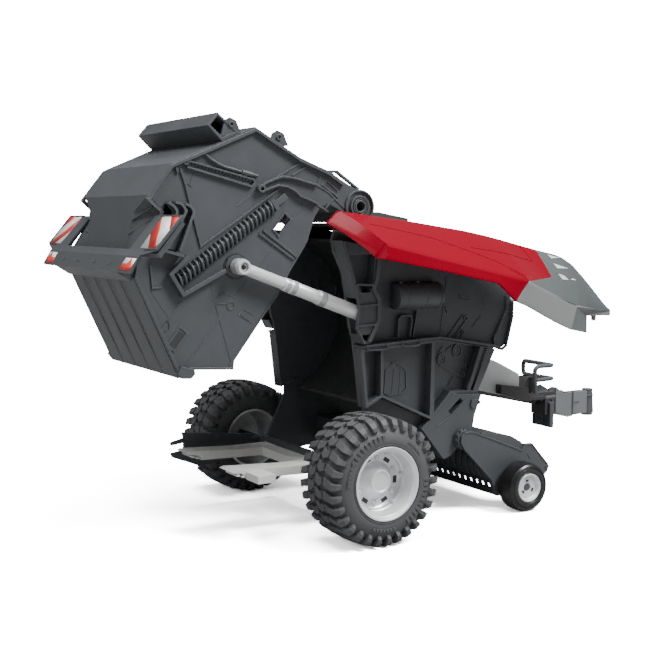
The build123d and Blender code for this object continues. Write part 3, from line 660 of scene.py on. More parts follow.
# Where the sheet ends, as (share across the face, place forward): across the upper face from
# the ridge to the crease, then down the lower strip from the crease to the rim.
REAR_UPPER = [(0.0, -7.8), (0.5, -2.0), (0.85, 2.6), (1.0, 5.0)]
REAR_LOWER = [(0.0, 5.0), (1.0, 3.0)]
RED_UPPER = [(0.0, 143.0), (0.6, 146.5), (1.0, 110.4)]
RED_LOWER = [(0.0, 110.4), (1.0, 98.6)]
NOSE_UPPER = [(0.0, 211.4), (1.0, 211.4)]
NOSE_LOWER = [(0.0, 167.5), (1.0, 161.0)]


def lookup(table, key):
    """A number or a pair read off a table by straight lines."""
    for a, b in zip(table, table[1:]):
        if key <= b[0]:
            t = max(0.0, (key - a[0]) / (b[0] - a[0]))
            return a[1] + (b[1] - a[1]) * t
    return table[-1][1]


def section(x):
    """Ridge, crease and rim of the door's sheet at x, each a vector (out, height)."""
    rows = DOOR_SECTIONS
    k = max(i for i in range(len(rows) - 1) if rows[i][0] <= x or i == 0)
    t = (x - rows[k][0]) / (rows[k + 1][0] - rows[k][0])
    return [Vector(rows[k][n]).lerp(Vector(rows[k + 1][n]), t) for n in (1, 2, 3)]


def door_point(x, row):
    """A point of the door's sheet. Rows run 0 to 1 over the inner flange, to 2 over the upper
    face and to 3 over the lower strip."""
    ridge, crease, rim = section(x)
    ridge = ridge + Vector((0.0, 0.8))
    hinge = Vector((50.6, min(180.7 - (x + 5.0) * math.tan(DOOR_DROP), ridge.y - 1.4)))
    corners = [hinge, ridge, crease, rim]
    soft = (0.0, 0.10, 0.07, 0.0)
    k = min(2, int(row))
    t = row - k
    spot = corners[k].lerp(corners[k + 1], t)
    for n in (1, 2):
        gap = row - n
        reach = soft[n] * (1.6 if gap > 0 and n == 2 else 1.0)
        if abs(gap) < reach:
            a = corners[n].lerp(corners[n - 1], reach if n != 2 else soft[n])
            b = corners[n].lerp(corners[n + 1], reach)
            u = (gap + reach) / (2 * reach)
            spot = a.lerp(corners[n], u).lerp(corners[n].lerp(b, u), u)
    if k == 1:
        crown = math.sin(math.pi * t) * 0.8
        across = (crease - ridge).normalized()
        spot = spot + Vector((-across.y, across.x)) * crown * (1 if across.x > 0 else -1)
    return x, spot.x, spot.y


def door_sheet(start, stop, columns):
    """A part of the door's sheet between two edges, each given as upper and lower tables."""
    rows = [0.0, 0.5, 0.85, 0.93, 0.97, 1.0, 1.03, 1.06, 1.1, 1.2, 1.3, 1.4, 1.5, 1.6, 1.7, 1.8, 1.88,
            1.93, 1.96, 1.98, 2.0, 2.03, 2.06, 2.11, 2.2, 2.4, 2.6, 2.8, 3.0]
    grid = []
    for row in rows:
        strip = 1 if row > 2 else 0
        first, last = [lookup(edge[strip], max(0.0, row - 1 - strip)) for edge in (start, stop)]
        line = [door_point(first + (last - first) * k / columns, row) for k in range(columns + 1)]
        grid.append((row, line))
    return grid


def door_mesh(bm, lines, material_index, hand):
    """Faces between neighbouring lines of points."""
    made = [[bm.verts.new(at(*p, hand)) for p in line] for line in lines]
    for a, b in zip(made, made[1:]):
        for k in range(len(a) - 1):
            face = bm.faces.new((a[k], a[k + 1], b[k + 1], b[k]))
            face.material_index = material_index


def door_turn(hand):
    """The right door stands lifted; the left one is turned down about its hinge."""
    if hand == RIGHT:
        return Matrix.Identity(4)
    pin = Vector(JOINTS["door_left_hinge"]["pos_m"])
    axis = Vector((math.cos(DOOR_DROP), 0, -math.sin(DOOR_DROP)))
    return Matrix.Translation(pin) @ Matrix.Rotation(-DOOR_LIFT, 4, axis) @ Matrix.Translation(-pin)


class BALER_OT_doors(EachSide, bpy.types.Operator):
    """Makes the red side doors with their grey noses"""

    bl_idname = "baler.doors"
    bl_label = "Side doors"

    def build(self, side, hand):
        turn = door_turn(hand)
        red = bmesh.new()
        grid = door_sheet((REAR_UPPER, REAR_LOWER), (RED_UPPER, RED_LOWER), 60)
        # the rear end turns down in a bevelled band
        banded = []
        for row, line in grid:
            x, out, z = line[0]
            if row <= 1:
                shift = (-7.6 * row - 0.2, 0.0, -7.0 * row)
            elif row <= 2:
                t = row - 1
                shift = (-7.6 + 2.3 * t, -2.4 * t * t, -7.0 - 1.0 * t)
            else:
                t = row - 2
                shift = (-5.3 * (1 - t), -2.4 * (1 - t), -8.0 * (1 - t))
            head = [(x + shift[0] * s, out + shift[1] * s, z + shift[2] * s)
                    for s in (1.0, 0.66, 0.33, 0.1)]
            banded.append(head + line)
        door_mesh(red, banded, 0, hand)
        piece = self.close(red, "door_skin_" + side, "door_" + side, ["red"], "red", turn)
        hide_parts("door_" + side)
        nose = bmesh.new()
        grid = door_sheet((RED_UPPER, RED_LOWER), (NOSE_UPPER, NOSE_LOWER), 48)
        upper = [line for row, line in grid if row <= 2.0]
        lower = [line for row, line in grid if row >= 2.0]
        door_mesh(nose, upper, 0, hand)
        door_mesh(nose, lower, 1, hand)
        # the cap that closes the strip's front end
        edge = [line[-1] for line in lower]
        foot = Vector((185.0, 63.0, 110.8))
        head = Vector((186.0, 61.8, 125.1))
        front = [tuple(head.lerp(foot, n / (len(edge) - 1))) for n in range(len(edge))]
        door_mesh(nose, (edge, front), 0, hand)
        piece = self.close(nose, "door_front_" + side, "door_" + side,
                           ["nose", "nose_light"], "light_grey", turn)
        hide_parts("door_nose_" + side)

    def close(self, bm, name, body, paints, slot, turn):
        """The sheet turned to its rest, facing out, thickened and with a rounded rim."""
        bmesh.ops.remove_doubles(bm, verts=bm.verts, dist=1e-6)
        bmesh.ops.transform(bm, matrix=turn, verts=bm.verts)
        bmesh.ops.recalc_face_normals(bm, faces=bm.faces)
        bm.faces.ensure_lookup_table()
        middle = sum((f.calc_center_median() for f in bm.faces), Vector()) / len(bm.faces)
        below = Vector((middle.x, 0, middle.z - 0.03))
        if sum((f.normal.dot(f.calc_center_median() - below) * f.calc_area()) for f in bm.faces) < 0:
            bmesh.ops.reverse_faces(bm, faces=bm.faces)
        mesh = mesh_of(bm, name, orient=False)
        for paint in paints:
            mesh.materials.append(paint_of(paint))
        piece = bpy.data.objects.new(name, mesh)
        bpy.context.scene.collection.objects.link(piece)
        mesh.shade_smooth()
        mesh.set_sharp_from_angle(angle=math.radians(38))
        thick = piece.modifiers.new("Thickness", "SOLIDIFY")
        thick.thickness = DOOR_THICK
        thick.offset = -1.0
        edge = piece.modifiers.new("Rounded rim", "BEVEL")
        edge.width = DOOR_RIM
        edge.segments = 2
        edge.limit_method = "ANGLE"
        edge.angle_limit = math.radians(50)
        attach(piece, body)
        return piece


# Raised lines on the tailgate's sides: (points, width, height above the side).
TAIL_RIBS = [
    ([(-105.2, 101.5), (-130.2, 155.6), (-127.6, 169.8), (-114.8, 190.4), (-122.4, 197.6),
      (-108.6, 215.0), (-89.6, 222.8), (-57.6, 236.2), (-28.8, 220.0), (-10.4, 213.0),
      (0.5, 206.4)], 1.8, 2.4),
    ([(-103.4, 213.6), (-100.6, 205.8), (-97.8, 194.7), (-91.6, 171.7), (-69.2, 185.8), (-53.2, 196.6),
      (-42.8, 203.3)], 1.2, 1.0),
    ([(-55.4, 178.6), (-32.9, 163.5)], 1.3, 1.0), ([(-52.8, 180.3), (-31.2, 164.9)], 1.3, 1.0),
    ([(-99.6, 104.6), (-72.4, 102.9)], 1.4, 1.2),
    ([(-25.5, 171.5), (-35.0, 158.0), (-44.8, 142.0), (-60.6, 122.7), (-74.6, 104.9)], 1.0, 0.5),
    ([(-26.5, 195.4), (-32.9, 188.2)], 0.5, 0.25), ([(-46.6, 171.0), (-55.2, 160.2)], 0.5, 0.25),
    ([(-63.0, 152.3), (-71.5, 142.2)], 0.5, 0.25),
    ([(-76.0, 136.1), (-81.1, 130.6), (-101.5, 106.5)], 0.5, 0.3),
    ([(-85.6, 150.1), (-84.4, 144.4)], 0.5, 0.2),
    ([(-82.9, 139.2), (-80.7, 131.7), (-77.7, 121.3), (-73.4, 106.1)], 0.5, 0.3),
    ([(-103.8, 141.7), (-110.9, 133.1)], 0.5, 0.25), ([(-88.9, 158.6), (-95.8, 150.4)], 0.5, 0.25),
    ([(-122.0, 149.0), (-110.9, 133.1)], 0.5, 0.2),
    ([(-84.7, 141.0), (-78.7, 145.6), (-73.0, 143.7)], 0.5, 0.35),
    ([(-83.2, 140.1), (-76.6, 139.3)], 0.6, 0.35),
    ([(-59.3, 132.5), (-65.7, 136.2), (-68.3, 132.9), (-60.3, 127.9)], 0.5, 0.3),
    ([(-121.6, 162.1), (-120.4, 149.5), (-114.8, 150.0)], 1.0, 0.8),
    ([(-115.4, 127.7), (-111.8, 131.7), (-110.4, 129.6), (-111.2, 127.0), (-113.6, 125.8)], 0.5, 0.35),
    ([(-34.7, 220.6), (-42.2, 211.5)], 0.5, 0.3), ([(-29.0, 218.4), (-44.1, 209.8)], 1.0, 0.8),
    ([(-24.9, 216.3), (-34.1, 211.1)], 1.0, 0.8),
    ([(-24.0, 215.8), (-15.0, 210.9), (-16.9, 207.0)], 0.6, 0.5),
    ([(-15.0, 210.9), (-10.4, 210.7)], 0.6, 0.5),
    ([(-92.4, 210.1), (-95.1, 211.3), (-98.8, 205.9), (-96.6, 204.2)], 0.5, 0.3),
    ([(-106.0, 214.6), (-105.0, 211.4)], 1.4, 1.3),
    ([(-56.2, 202.4), (-70.0, 193.4)], 0.5, 0.25),
]
# Windows in the tailgate's sides.
TAIL_WINDOWS = [
    [(-112.2, 118.7), (-104.6, 127.8), (-100.1, 124.2), (-108.4, 114.5)],
    [(-38.9, 190.4), (-34.5, 186.3), (-42.7, 176.8), (-46.7, 180.7)],
    [(-10.8, 209.0), (-2.6, 202.8), (-3.4, 199.6), (-13.2, 206.6)],
]


class BALER_OT_tailgate(EachSide, bpy.types.Operator):
    """Adds the raised rims, ribs, windows and bosses of the tailgate's sides"""

    bl_idname = "baler.tailgate"
    bl_label = "Tailgate sides"

    def build(self, side, hand):
        bm = bmesh.new()
        ribs(bm, TAIL_RIBS, -0.3, hand)
        for window in TAIL_WINDOWS:
            rib(bm, window, 0.9, SHELL - 0.3, SHELL + 0.5, hand, closed=True)
        prism(bm, [(-110.2, 118.6), (-105.6, 124.0), (-103.2, 122.2), (-107.8, 116.6)],
              SHELL - 1.6, SHELL - 0.8, hand)
        ring(bm, -73.4, 138.3, 2.6, 1.9, SHELL - 0.2, SHELL + 0.4, hand)
        # rim of the bearing at the pivot
        for outer, inner, top in ((10.0, 8.9, 1.4), (6.6, 5.4, 1.6), (4.9, 4.25, 1.9)):
            ring(bm, *PIVOT, outer, inner, SHELL - 0.3, SHELL + top, hand, sides=48)
        # plate with an opening on top of the side, in front of the roof
        rib(bm, [(-8.6, 214.0), (-3.2, 214.3), (11.4, 204.6), (5.6, 202.4)], 1.5,
            SHELL - 3, SHELL - 0.2, hand, closed=True)
        # latch block at the lower rear corner
        prism(bm, [(-107.5, 103.0), (-105.6, 106.5), (-97.7, 104.4), (-97.1, 101.9), (-99.6, 99.3),
                   (-105.0, 99.6)], SHELL - 0.5, SHELL + 4, hand)
        moulded("tailgate_relief_" + side, bm, "tailgate", SOFT)
        dark = bmesh.new()
        # painted shade: thin black sheets fill the two openings, dark as their hollows in shade; a black ring and
        # six black studs sit round the cylinder's eye
        for opening in ([(-110.9, 118.4), (-105.0, 125.6), (-101.6, 123.6), (-107.6, 116.2)],
                        [(-9.8, 208.0), (-3.6, 203.0), (-4.2, 200.8), (-12.0, 206.2)]):
            prism(dark, opening, SHELL - 0.1, SHELL + 0.06, hand)
        ring(dark, *EYE, 7.3, 4.4, SHELL - 0.2, SHELL + 0.5, hand)
        for spot in disc(*EYE, 6.4, 6, 0.3):
            prism(dark, disc(*spot, 0.9, 8), SHELL + 0.3, SHELL + 1.0, hand)
        make("tailgate_recesses_" + side, dark, "tailgate", "black")


# A tension spring's two ends in the side view, and how many coils show.
SPRING = ((-105.0, 153.2), (-46.0, 194.6))
COILS = 23


class BALER_OT_springs(EachSide, bpy.types.Operator):
    """Winds the two tension springs and sets their trays"""

    bl_idname = "baler.springs"
    bl_label = "Tension springs"

    def build(self, side, hand):
        start, stop = Vector(SPRING[0]), Vector(SPRING[1])
        bm = bmesh.new()
        way = (stop - start).normalized()
        normal = Vector((-way.y, way.x))
        pitch = (stop - start).length / COILS
        # one flattened coil: the part that shows, proud of the side
        points = []
        for k in range(11):
            a = math.pi * (k / 10.0)
            shift = normal * (3.7 * math.cos(a)) + way * (pitch * 0.34 * math.cos(a))
            points.append(at(start.x + shift.x, SHELL + 0.2 + 3.4 * math.sin(a), start.y + shift.y, hand))
        tube(bm, points, 0.78, 8)
        step = (way.x * pitch * MM, 0, way.y * pitch * MM)
        coils = repeated(bm, "dark", COILS, step)
        core = bmesh.new()
        tube(core, [at(start.x, SHELL + 0.6, start.y, hand), at(stop.x, SHELL + 0.6, stop.y, hand)], 2.2, 16)
        for back, ahead, width, height in ((1.2, 9.0, 3.6, 2.6), (1.6, 1.0, 6.6, 3.4)):
            rib(core, [tuple(stop - way * back), tuple(stop + way * ahead)], width, SHELL - 0.2,
                SHELL + height, hand)
        rib(core, [(-100.6, 166.4), (-110.8, 156.9), (-103.6, 145.6), (-78.0, 158.2)], 2.2,
            SHELL - 0.2, SHELL + 4.2, hand)
        solid = mesh_of(core, "core")
        piece = dress("tension_spring_" + side, joined([coils, solid]), "tailgate", "dark",
                      SOFT, 2, 40)
        if hand == LEFT:
            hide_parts("tension_springs")


# Upper and lower edge of a tension arm in the side view, and the ribs on it and behind it.
ARM_TOP = [(-55.5, 204.2), (-51.9, 206.7), (-45.7, 209.2), (-40.8, 210.6), (-33.9, 209.9), (-23.8, 207.4),
           (-17.8, 206.0)]
ARM_LOW = [(-53.7, 201.9), (-50.7, 203.4), (-43.9, 205.6), (-37.7, 204.9), (-32.7, 202.4), (-29.5, 199.7),
           (-20.6, 196.4), (-17.8, 195.0)]
ARM_RIBS = [
    (ARM_TOP, 1.1, 3.0), (ARM_LOW, 1.1, 3.0),
    ([(-17.8, 206.0), (-14.8, 205.0), (-9.0, 202.0), (-3.7, 197.2), (1.6, 192.9)], 1.1, 0.45),
    ([(-17.8, 195.0), (-12.9, 192.6), (-9.4, 190.6)], 1.1, 0.45),
    ([(-6.1, 198.5), (-11.6, 192.4)], 1.0, 0.45),
]


class BALER_OT_tail_fittings(EachSide, bpy.types.Operator):
    """Adds the tension arms, hoses, oil cylinders and lamp brackets on the tailgate"""

    bl_idname = "baler.tail_fittings"
    bl_label = "Tailgate fittings"

    def build(self, side, hand):
        bm = bmesh.new()
        prism(bm, ARM_TOP + ARM_LOW[::-1], SHELL - 0.1, SHELL + 0.7, hand)
        ribs(bm, ARM_RIBS, -0.1, hand)
        ring(bm, -54.6, 203.6, 2.3, 1.1, SHELL - 0.1, SHELL + 3.4, hand)
        piece = moulded("tension_arm_" + side, bm, "tailgate", SOFT)
        if hand == LEFT:
            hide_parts("tension_arms")
        bm = bmesh.new()
        # the oil cylinder moulded along the top of the side
        rib(bm, [(-101.6, 216.6), (-99.6, 216.0), (-99.2, 218.0), (-59.2, 208.6), (-58.6, 206.6),
                 (-60.6, 204.6), (-99.8, 214.6)], 0.9, SHELL - 0.2, SHELL + 1.9, hand)
        strip = bmesh.new()
        rib(strip, [(-98.6, 217.2), (-97.0, 216.8)], 1.9, SHELL - 0.1, SHELL + 0.9, hand)
        ticks = repeated(strip, "dark", 19, (2.06 * MM, 0, -0.483 * MM))
        rib(bm, [(-98.4, 214.9), (-60.4, 205.4)], 1.2, SHELL - 0.2, SHELL + 0.5, hand)
        hose = smooth_path([at(x, out, z, hand) for x, out, z in (
            (-90.0, 50.9, 223.6), (-87.7, 50.9, 221.2), (-84.6, 50.9, 218.8), (-78.0, 51.0, 215.6),
            (-71.0, 51.0, 213.8), (-64.3, 51.0, 212.1), (-56.3, 51.0, 210.6))], 6)
        tube(bm, hose, 0.85, 10)
        tube(bm, [at(-66.4, 51.0, 212.7, hand), at(-60.0, 51.0, 211.2, hand)], 1.5, 12)
        for x, z in ((-71.5, 239.6), (-41.4, 233.6)):
            prism(bm, [(x - 7.0, z - 7.6), (x - 4.6, z + 1.2), (x - 1.2, z + 3.0), (x + 2.6, z + 1.4),
                       (x + 5.6, z - 5.4)], SHELL - 2.2, SHELL - 0.4, hand)
            ring(bm, x - 0.6, z - 0.8, 1.9, 1.0, SHELL - 0.6, SHELL + 0.5, hand, sides=6)
        solid = mesh_of(bm, "fittings")
        dress("tailgate_hoses_" + side, joined([solid, ticks]), "tailgate", "dark",
              0.00015, 2, 40)
        # curved bracket behind the marker board
        bm = bmesh.new()
        for path in ([(-114.0, 170.8), (-103.6, 188.8), (-103.0, 191.6), (-105.2, 194.6), (-108.6, 195.6)],
                     [(-106.4, 169.4), (-99.8, 185.8), (-98.2, 190.0), (-99.4, 193.0), (-102.8, 194.8)],
                     [(-117.6, 172.6), (-108.6, 187.8), (-108.8, 192.4), (-112.6, 195.4)]):
            line = smooth_path([Vector((x, z)) for x, z in path], 4)
            rib(bm, [tuple(point) for point in line], 1.3, SHELL - 0.1, SHELL + 6.2, hand)
        prism(bm, [(-117.6, 172.6), (-106.4, 169.4), (-98.6, 190.0), (-102.8, 194.4), (-112.6, 195.2),
                   (-108.8, 190.2)], SHELL - 0.1, SHELL + 1.2, hand)
        rib(bm, [(-119.0, 170.8), (-104.4, 166.6)], 1.4, SHELL - 0.1, SHELL + 7.0, hand)
        moulded("lamp_bracket_" + side, bm, "tailgate", SOFT)


# The marker boards' faces as lines of the side view, and the way they look. A print has a name,
# a lift off the board and patches, with corners as (distance out, share of the way up).
BOARD_TOP = ((-132.6, 171.6), (-118.9, 187.9))
BOARD_LOW = ((-141.1, 160.2), (-136.9, 167.0))
BOARD_FRONT = Vector((-0.766, 0, 0.643))
BOARD_PRINTS = [
    ("white", 0.10, [
        (BOARD_TOP, [(63.8, 0.0), (80.8, 0.0), (83.4, 0.16), (83.8, 1.0), (62.2, 1.0)]),
        (BOARD_LOW, [(54.4, 0.0), (69.2, 0.0), (70.6, 1.03), (56.0, 1.03)])]),
    ("red", 0.14, [
        (BOARD_TOP, [(74.6, 0.0), (80.8, 0.0), (82.2, 0.08), (62.4, 0.97), (63.1, 0.46)]),
        (BOARD_TOP, [(83.6, 0.58), (83.8, 1.0), (73.5, 1.0)]),
        (BOARD_LOW, [(54.4, 0.0), (69.2, 0.0), (69.9, 0.48), (67.4, 0.50), (64.6, 0.98),
                     (61.4, 0.50), (55.2, 0.48)])]),
]


class BALER_OT_boards(EachSide, bpy.types.Operator):
    """Adds the marker boards' frames and their red and white stripes"""

    bl_idname = "baler.boards"
    bl_label = "Marker boards"

    def build(self, side, hand):
        for name, lift, patches in BOARD_PRINTS:
            bm = bmesh.new()
            for line, corners in patches:
                start, stop = Vector(line[0]), Vector(line[1])
                way = (stop - start).normalized()
                off = Vector((-way.y, way.x)) * lift
                spots = [(out, start.lerp(stop, share) + off) for out, share in corners]
                bm.faces.new([bm.verts.new(at(spot.x, out, spot.y, hand)) for out, spot in spots])
            for face in bm.faces:
                face.normal_update()
                if face.normal.dot(BOARD_FRONT) < 0:
                    face.normal_flip()
            mesh = mesh_of(bm, "print", orient=False)
            piece = dress("marker_" + name + "_" + side, mesh, "tailgate", "print_" + name)
            thick = piece.modifiers.new("Film", "SOLIDIFY")
            thick.thickness = FILM
        bm = bmesh.new()
        tube(bm, [at(-118.2 - (188.6 - z) * 0.84, out, z, hand) for out, z in
                  ((71.4, 171.0), (85.3, 171.4), (85.3, 188.2), (60.0, 188.2))], 0.7, 8)
        # lamp housing seen from behind
        prism(bm, [(-131.5, 169.0), (-117.8, 185.5), (-116.0, 184.0), (-129.6, 166.8)], 60, 84, hand)
        moulded("marker_frame_" + side, bm, "tailgate", SOFT)


def block_at(bm, x, z, length, height, d0, d1, hand, turn=0.0):
    """A box seen from the side, turned by an angle in degrees."""
    c, s = math.cos(math.radians(turn)), math.sin(math.radians(turn))
    corners = ((-0.5, -0.5), (0.5, -0.5), (0.5, 0.5), (-0.5, 0.5))
    prism(bm, [(x + a * length * c - b * height * s, z + a * length * s + b * height * c)
               for a, b in corners], d0, d1, hand)


def box(bm, x0, x1, y0, y1, z0, z1):
    """A box between places ahead of the axle, to the left and up, in millimetres."""
    prism(bm, [(x0, z0), (x1, z0), (x1, z1), (x0, z1)], y0, y1, LEFT)


def turned_bar(bm, start, stop, out, profile, hand, sides=32):
    """A round bar between two points of the side view, as (share along it, radius) steps."""
    a, b = at(start[0], out, start[1], hand), at(stop[0], out, stop[1], hand)
    across = Vector((0, 1, 0))
    over = (b - a).normalized().cross(across)
    bridge(bm, [hoop(bm, a.lerp(b, share), across, over, radius, sides) for share, radius in profile],
           capped=True)


# Half sections of the wheels' parts: (distance in from the tyre's outer face, radius).
RIM = [(36.0, 19.9), (3.0, 19.9), (1.6, 20.8), (0.6, 21.4), (-0.1, 21.4), (-0.3, 20.8), (0.1, 20.0),
       (1.0, 19.5), (1.6, 19.3), (2.0, 18.6), (6.0, 18.1), (9.2, 17.4), (9.8, 16.6), (11.6, 16.2),
       (12.6, 14.9), (12.6, 10.9), (11.9, 10.3), (7.8, 7.1), (7.2, 6.9), (6.9, 6.6), (6.9, 5.9), (7.3, 5.6),
       (7.6, 5.3), (7.6, 0.0), (15.6, 0.0), (15.6, 5.2), (14.4, 8.5), (14.4, 15.0), (11.8, 17.8),
       (36.0, 18.3)]
GAUGE_TYRE = [(14.0, 9.5), (14.0, 13.4), (13.2, 14.8), (11.4, 15.6), (8.8, 15.65), (3.4, 15.6),
              (1.4, 15.0), (0.4, 13.9), (0.1, 13.2), (0.6, 12.9), (0.1, 12.5), (0.0, 11.6), (0.0, 10.6),
              (0.5, 9.8), (1.2, 9.4), (13.0, 9.3)]
GAUGE_HUB = [(13.0, 9.35), (1.0, 9.35), (0.2, 9.1), (0.0, 8.7), (0.2, 8.1), (0.9, 7.7), (2.0, 7.3),
             (2.4, 6.9), (2.2, 6.4), (2.0, 6.0), (2.3, 5.4), (2.6, 2.9), (3.0, 2.7), (5.2, 2.5),
             (5.2, 0.0), (13.0, 0.0)]


# The same for one of six nuts and bosses of a rim, and for a gauge wheel's bore.
NUT = [(12.9, 1.5), (11.6, 1.4), (11.2, 1.1), (11.2, 0.6), (11.8, 0.4), (11.8, 0.0), (12.9, 0.0)]
BOSS = [(12.0, 1.4), (9.0, 1.3), (8.6, 1.0), (8.6, 0.5), (9.2, 0.4), (9.2, 0.0), (12.0, 0.0)]
GAUGE_BORE = [(5.4, 2.55), (5.0, 2.5), (5.0, 0.0), (5.4, 0.0)]
# Rows of marks on the tyre's wall: (first one's turn, how many, degrees between, length).
TYRE_MARKS = [(96, 9, 6.4, 3.4), (-58, 10, 6.4, 3.4), (150, 6, 5.2, 1.6), (36, 5, 5.2, 1.6),
              (250, 7, 5.0, 1.6)]


class BALER_OT_wheels(EachSide, bpy.types.Operator):
    """Makes the dished rims, their slots and nuts, and the pickup's gauge wheels"""

    bl_idname = "baler.wheels"
    bl_label = "Rims and gauge wheels"

    def build(self, side, hand):
        edge, _, z = wheel_place("tyre_" + side)
        body = "wheel_" + side
        bm, nuts, slots = bmesh.new(), bmesh.new(), bmesh.new()
        lathe(bm, RIM, 0, z, hand, 96, edge)
        lathe(nuts, NUT, *disc(0, z, 12.9, 6, math.radians(26))[0], hand, 16, edge)
        lathe(nuts, BOSS, *disc(0, z, 16.6, 6, math.radians(8))[0], hand, 12, edge)
        # painted shade: each rim slot is a thin black block on the rim's face, dark as the hollow behind it
        slot = disc(0, z, 13.2, 6, math.radians(-4))[0]
        block_at(slots, *slot, 2.4, 4.2, edge - 13.0, edge - 12.48, hand, -4)
        step = (0, math.tau / 6, 0)
        centre = at(0, 0, z, hand)
        solid = mesh_of(bm, "rim", weld=WELD)
        piece = dress("wheel_rim_" + side, joined([solid, repeated(nuts, "silver", 6, step, centre)]),
                      body, "silver", SOFT, 2, 32)
        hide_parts("rim_" + side)
        dress("wheel_slots_" + side, repeated(slots, "black", 6, step, centre), body,
              "black")
        marks = bmesh.new()
        for start, count, gap, length in TYRE_MARKS:
            for k in range(count):
                turn = start + k * gap
                spot = disc(0, z, 26.6, 1, math.radians(turn))[0]
                block_at(marks, *spot, length, 1.9, edge - 0.9, edge + 0.18, hand, turn)
        make("tyre_marks_" + side, marks, body, "rubber", SOFT)
        edge, x, z = wheel_place("gauge_tyre_" + side)
        body = "gauge_wheel_" + side
        for name, profile, paint, slot_name in (
                ("tyre", GAUGE_TYRE, "hard_tyre", "tyre"), ("hub", GAUGE_HUB, "speckled", "silver")):
            bm = bmesh.new()
            lathe(bm, profile, x, z, hand, 72, edge)
            piece = make("small_wheel_" + name + "_" + side, bm, body, paint, 0.0001, 1, 28)
            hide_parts("gauge_" + name + "_" + side)
        # painted shade: the bore's floor and three radial grooves of the hub are black pieces, dark as hollows in
        # shade
        slots = bmesh.new()
        lathe(slots, GAUGE_BORE, x, z, hand, 6, edge)
        for k, spot in enumerate(disc(x, z, 4.4, 3, math.radians(95))):
            block_at(slots, *spot, 1.5, 2.3, edge - 3.2, edge - 2.28, hand, 95 + 120 * k)
        make("small_wheel_slots_" + side, slots, body, "black")


class BALER_OT_cylinders(EachSide, bpy.types.Operator):
    """Adds collars, eyes and end rings to the tailgate's cylinders"""

    bl_idname = "baler.cylinders"
    bl_label = "Tailgate cylinders"

    def build(self, side, hand):
        out = CYLINDER_OUT
        for name, body, steps in (
                ("rod", "cylinder_rod_", [(0.045, 3.3), (0.06, 3.4), (0.075, 3.0), (0.085, 2.2),
                                          (0.10, 1.9)]),
                ("collar", "cylinder_tube_", [(0.335, 2.4), (0.345, 3.9), (0.375, 4.1), (0.385, 3.3),
                                              (0.395, 4.1), (0.425, 4.1), (0.435, 3.5)]),
                ("barrel", "cylinder_barrel_", [(0.61, 3.6), (0.615, 4.4), (0.66, 4.5), (0.665, 4.32)])):
            bm = bmesh.new()
            turned_bar(bm, EYE, TRUNNION, out, steps, hand)
            if name == "rod":
                ring(bm, *EYE, 4.6, 2.5, out - 3.0, out + 3.6, hand)
                ring(bm, *EYE, 2.4, 1.5, out + 2.0, out + 4.6, hand)
            make("cylinder_" + name + "_rings_" + side, bm, body + side, "brushed",
                 SOFT)


# Raised lines on the body's sides above the shelf and in the pockets below it.
BODY_RIBS = [
    ([(78.2, 150.4), (72.6, 114.6)], 0.7, 0.5), ([(76.1, 130.8), (77.4, 131.0), (78.9, 127.7)], 0.8, 0.8),
    ([(79.3, 112.9), (93.6, 125.6)], 0.6, 0.7), ([(84.4, 111.6), (97.0, 122.2)], 0.6, 0.7),
    ([(86.3, 111.4), (92.0, 116.6)], 0.5, 0.6), ([(90.6, 110.8), (95.6, 115.2)], 0.5, 0.6),
    ([(38.5, 114.6), (39.2, 126.0), (41.1, 127.8), (48.2, 127.5), (49.0, 124.8), (48.3, 120.0),
      (47.5, 114.6)], 0.9, 3.4), ([(53.2, 130.4), (51.0, 120.0), (50.0, 114.2)], 0.8, 3.0),
    ([(34.5, 97.7), (36.0, 98.0), (36.2, 99.0), (39.9, 98.9), (40.2, 97.6), (43.5, 96.5), (46.3, 93.7),
      (46.8, 82.5), (43.6, 79.5), (33.8, 78.9), (30.3, 80.9), (31.4, 94.7), (34.3, 95.4)], 0.5, 0.6),
    ([(36.0, 79.4), (37.6, 95.0)], 0.3, 0.3), ([(41.3, 79.6), (42.6, 95.8)], 0.3, 0.3),
    ([(95.7, 98.6), (97.2, 89.6)], 0.9, 0.8), ([(72.6, 94.9), (91.8, 86.2)], 0.9, 0.8),
    ([(77.5, 103.5), (83.0, 106.5)], 0.7, 0.6), ([(70.8, 102.6), (75.0, 106.6)], 0.7, 0.6),
]
# The same on the wall's rear edge, and the steps and flange of the pillar.
EDGE_RIBS = [([(0.2, 160.5), (3.2, 154.0), (5.0, 143.0)], 2.4, 0.8),
             ([(10.4, 112.6), (12.4, 101.0), (15.2, 80.0)], 2.8, 0.9)]
STEP_RIBS = [([(2.6, 148.4), (16.6, 147.6)], 1.1, 12.6), ([(4.6, 135.6), (17.4, 136.2)], 1.1, 12.6),
             ([(4.0, 124.0), (17.0, 124.4)], 1.1, 12.6)]
FLANGE_RIBS = [
    ([(17.2, 169.0), (18.6, 163.0), (17.2, 151.6), (14.6, 145.6), (18.6, 138.8), (18.6, 127.0),
      (11.8, 114.4)], 2.2, 12.4),
    ([(-5.8, 173.6), (-2.8, 163.2), (3.4, 143.6), (5.4, 133.0), (3.5, 122.8), (8.6, 113.6)], 1.0, 12.0),
]
# Round raised shapes: (x, z, outer and inner radius).
BODY_RINGS = [(88.5, 103.0, 4.6, 3.2), (74.2, 98.8, 4.0, 2.6), (94.3, 87.2, 2.6, 1.4),
              (96.2, 123.4, 1.9, 1.0), (93.6, 114.4, 1.7, 0.9)]


